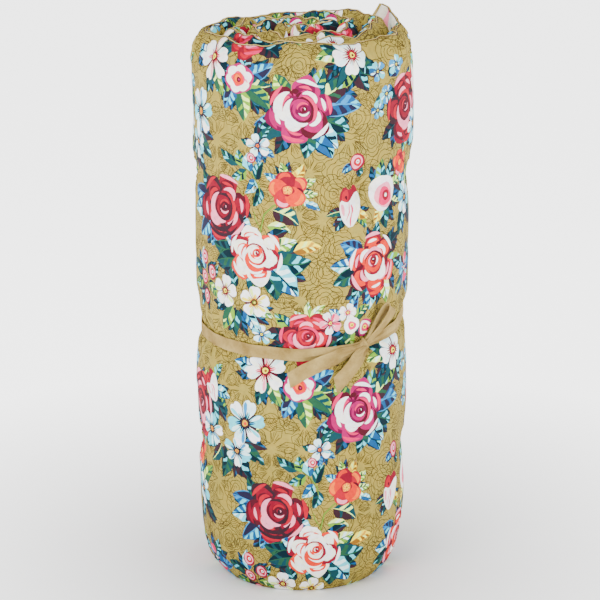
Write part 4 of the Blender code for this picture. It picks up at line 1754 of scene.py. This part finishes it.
def knot():
    """Lump of tape: a wrap over the middle, creased towards both sides."""
    nu, nv = 40, 26
    rows = []
    for i in range(nu + 1):
        th = math.pi * i / nu                     # along the tie
        row = []
        for j in range(nv):
            ph = TAU * j / nv
            x = math.cos(th)
            rad = math.sin(th) ** 0.8
            y = rad * math.cos(ph)
            zz = rad * math.sin(ph)
            wrap = math.exp(-(x / 0.38) ** 2)
            groove = -0.26 * math.exp(-((abs(x) - 0.44) / 0.13) ** 2)
            pleat = 0.30 * tri(6 * ph + 5 * x) * (1 - wrap)
            s = 1 + 0.10 * wrap + groove + pleat
            p = (KNOT_C + KNOT_U * x * 0.0070
                 + np.array([0, 0, 1.0]) * y * 0.0046 * s
                 + KNOT_N * zz * 0.0038 * s)
            row.append(p)
        rows.append(row)
    verts, faces = tube_grid(rows[1:-1])
    ob = new_object("tie_knot_lump", verts, faces, M_TAPE)
    cloth_uv(ob)
    return ob


def knot_wrap():
    """The strand that crosses over the front of the knot."""
    n = 46
    centres, normals = [], []
    up = np.array([0, 0, 1.0])
    lean = unit(up * 0.93 + KNOT_U * -0.37)
    for i in range(n):
        t = i / (n - 1)
        th = math.radians(-115 + 230 * t)
        nn = unit(KNOT_N * math.cos(th) + lean * math.sin(th))
        c = KNOT_C + KNOT_N * 0.0050 * math.cos(th) + \
            lean * 0.0058 * math.sin(th)
        centres.append(c)
        normals.append(nn)
    sides, widths = [], []
    for i in range(n):
        tan = unit(centres[min(n - 1, i + 1)] - centres[max(0, i - 1)])
        sides.append(unit(np.cross(normals[i], tan)))
        t = i / (n - 1)
        widths.append(0.0054 + 0.0020 * math.cos(TAU * t))

    def fold(t, v):
        return 0.0012 * tri(v * 5.0 + 3 * t) - 0.0014 * v * v
    ob, _ = ribbon("tie_knot_wrap", np.array(centres), sides, normals, widths,
                   fold)
    return ob


lump = knot()
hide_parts("tie_knot")
wrap = knot_wrap()
for ob in (lump, wrap):
    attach(ob, "pad")


def tail(name, controls, width, cut, seed, lift0=0.0042, lift1=0.0016):
    """Flat tail lying over the roll from the knot."""
    n = 60
    path = catmull(controls, n)
    centres, normals = [], []
    for i, (du, dz) in enumerate(path):
        t = i / (n - 1)
        lift = lift1 + (lift0 - lift1) * math.exp(-(t / 0.22) ** 2)
        p, nn = on_roll(du, dz, lift)
        centres.append(p)
        normals.append(nn)
    centres = np.array(centres)
    for _ in range(6):
        centres[1:-1] = (centres[:-2] + centres[1:-1] * 2 + centres[2:]) / 4
    sides, widths = [], []
    for i in range(n):
        tan = unit(centres[min(n - 1, i + 1)] - centres[max(0, i - 1)])
        sides.append(unit(np.cross(normals[i], tan)))
        t = i / (n - 1)
        widths.append(width * (0.42 + 0.58 * float(smooth(t / 0.38))))

    def fold(t, v):
        gather = math.exp(-(t / 0.50) ** 2)
        c = 0.0024 * gather * tri(v * 4.6 + seed)
        c += 0.0010 * gather * tri(v * 9.5 + seed * 2 - t * 3)
        c += 0.0011 * (1 - gather) * tri(v * 1.5 + seed + 2.4 * t)
        c += 0.0005 * v * v * math.sin(7 * t + seed)
        return c
    ob, length = ribbon(name, centres, sides, normals, widths, fold)
    # slanting cut at the free end
    mesh = ob.data
    tan = unit(centres[-1] - centres[-2])
    cols = 15
    for vi, v in enumerate(mesh.vertices):
        i, j = divmod(vi % (n * cols), cols)
        t = max(0.0, (i - (n - 8)) / 7)
        vv = -1 + 2 * j / (cols - 1)
        v.co += Vector(tan * cut * vv * t)
    mesh.update()
    return ob, length


long_tail, ll = tail("tail_long_tape", [(-0.003, -0.001), (-0.023, -0.0065),
                                        (-0.045, -0.0125), (-0.068, -0.0210),
                                        (-0.088, -0.0325)], 0.0164, 0.0030,
                     0.4)
short_tail, sl = tail("tail_short_tape", [(-0.001, -0.003),
                                          (-0.0080, -0.0095),
                                          (-0.0165, -0.0190),
                                          (-0.0275, -0.0290),
                                          (-0.0385, -0.0395)], 0.0172,
                      0.0050, 2.1, 0.0062, 0.0030)
for ob, node, body, length in ((long_tail, "tie_tail_long", "tail_long", ll),
                               (short_tail, "tie_tail_short", "tail_short",
                                sl)):
    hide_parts(node)
    if body == "tail_short":
        tuple(on_roll(-0.0036, -0.0052, 0.006)[0])
        tuple(on_roll(-0.0130, -0.0166, 0.006)[0])
        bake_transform(ob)
    else:
        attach(ob, body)


LOOP_LEAN = math.radians(54)


def bow_loop():
    """One bow loop: up behind, over the top, and back down in front."""
    ctrl = [  # along the loop, height above the roll, sideways, twist
        (0.001, 0.0042, 0.0000, 10), (0.011, 0.0050, 0.0016, 18),
        (0.024, 0.0056, 0.0030, 20), (0.037, 0.0062, 0.0030, 12),
        (0.0448, 0.0074, 0.0016, 4), (0.0462, 0.0104, 0.0002, 0),
        (0.0415, 0.0128, -0.0012, -8), (0.028, 0.0122, -0.0022, -16),
        (0.013, 0.0096, -0.0014, -12), (0.002, 0.0068, 0.0000, 0)]
    n = 110
    path = catmull(ctrl, n)
    lean = LOOP_LEAN
    centres, normals = [], []
    for d, h, w, tw in path:
        du = d * math.cos(lean) - w * math.sin(lean)
        dz = d * math.sin(lean) + w * math.cos(lean)
        p, nn = on_roll(du, dz, h, 0.002)
        centres.append(p)
        normals.append(nn)
    centres = np.array(centres)
    for _ in range(3):
        centres[1:-1] = (centres[:-2] + centres[1:-1] * 2 + centres[2:]) / 4
    sides, nrm, widths = [], [], []
    for i in range(n):
        t = i / (n - 1)
        base_n = normals[i]
        phi = math.atan2(base_n[1], base_n[0])
        along_u = np.array([-math.sin(phi), math.cos(phi), 0.0])
        d_dir = along_u * math.cos(lean) + np.array([0, 0, math.sin(lean)])
        w_dir = unit(np.cross(base_n, d_dir))
        tan = unit(centres[min(n - 1, i + 1)] - centres[max(0, i - 1)])
        w_dir = unit(w_dir - tan * float(w_dir @ tan))
        out = unit(np.cross(tan, w_dir))
        tw = math.radians(float(path[i][3]))
        side = unit(w_dir * math.cos(tw) + out * math.sin(tw))
        sides.append(side)
        nrm.append(unit(np.cross(tan, side)))
        widths.append(0.0148 * (0.40 + 0.60 * float(
            smooth(min(t, 1 - t) / 0.26))))

    def fold(t, v):
        g = math.exp(-(t / 0.22) ** 2) + math.exp(-((1 - t) / 0.26) ** 2)
        return 0.0012 * g * tri(v * 4.4 + 1.0) + \
            0.0004 * tri(1.7 * v + 5 * t)
    return ribbon("loop_tape", centres, sides, nrm, widths, fold)


loop, loop_len = bow_loop()
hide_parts("tie_loop")
# two points over the roll near the loop's root in the knot, on the line above it
LOOP_ENDS = [on_roll(d * math.cos(LOOP_LEAN), d * math.sin(LOOP_LEAN), 0.008,
                     0.002)[0] for d in (0.006, 0.019)]
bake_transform(loop)


# ------------------------------------------------------- floor, light, camera
def stage():
    size = 12.0
    mat, nt, bsdf = node_mat("studio_floor")
    n = noise_tex(nt, 3.0)
    col = ramp(nt, n, [(0.2, (0.93, 0.93, 0.93)), (0.8, (0.95, 0.95, 0.95))])
    nt.links.new(col, bsdf.inputs["Base Color"])
    bsdf.inputs["Roughness"].default_value = 0.9
    # the far floor glows with emission: painted light standing in for the separately lit white sweep of a
    # studio
    geo = nt.nodes.new("ShaderNodeTexCoord")
    dist = nt.nodes.new("ShaderNodeVectorMath")
    dist.operation = "LENGTH"
    nt.links.new(geo.outputs["Object"], dist.inputs[0])
    glow = ramp(nt, dist.outputs["Value"], [(0.12, (0.0, 0.0, 0.0)),
                                            (0.70, (1.0, 1.0, 1.0))])
    nt.links.new(glow, bsdf.inputs["Emission Color"])
    bsdf.inputs["Emission Strength"].default_value = 2.6
    verts = [(-size, -size, -0.0004), (size, -size, -0.0004),
             (size, size, -0.0004), (-size, size, -0.0004)]
    ob = new_object("studio_floor", verts, [(0, 1, 2, 3)], mat, False)


def area(name, loc, target, size, power, colour=(1, 1, 1)):
    data = bpy.data.lights.new(name, "AREA")
    data.shape = "RECTANGLE"
    data.size, data.size_y = size
    data.energy = power
    data.color = colour
    ob = bpy.data.objects.new(name, data)
    ob.location = loc
    d = Vector(target) - Vector(loc)
    ob.rotation_euler = d.to_track_quat("-Z", "Y").to_euler()
    bpy.context.scene.collection.objects.link(ob)


stage()
area("key", (-1.4, -2.2, 2.0), (0, 0, 0.3), (1.6, 1.6), 60)
area("fill", (1.9, -1.9, 1.3), (0, 0, 0.3), (1.6, 1.8), 27)
area("top", (0.1, 0.3, 2.6), (0, 0, 0.5), (1.6, 1.6), 17)
world = bpy.data.worlds.new("studio")
world.use_nodes = True
bg = world.node_tree.nodes["Background"]
bg.inputs[0].default_value = (1.0, 1.0, 1.0, 1)
bg.inputs[1].default_value = 1.15
bpy.context.scene.world = world

cam_data = bpy.data.cameras.new("camera")
cam_data.lens = 138.5
cam_data.sensor_width = 36
cam = bpy.data.objects.new("camera", cam_data)
cam.location = (-0.0036, -2.410, 0.9885)
aim = Vector((-0.0022, 0.0, 0.3032)) - cam.location
cam.rotation_euler = aim.to_track_quat("-Z", "Y").to_euler()
bpy.context.scene.collection.objects.link(cam)
bpy.context.scene.camera = cam
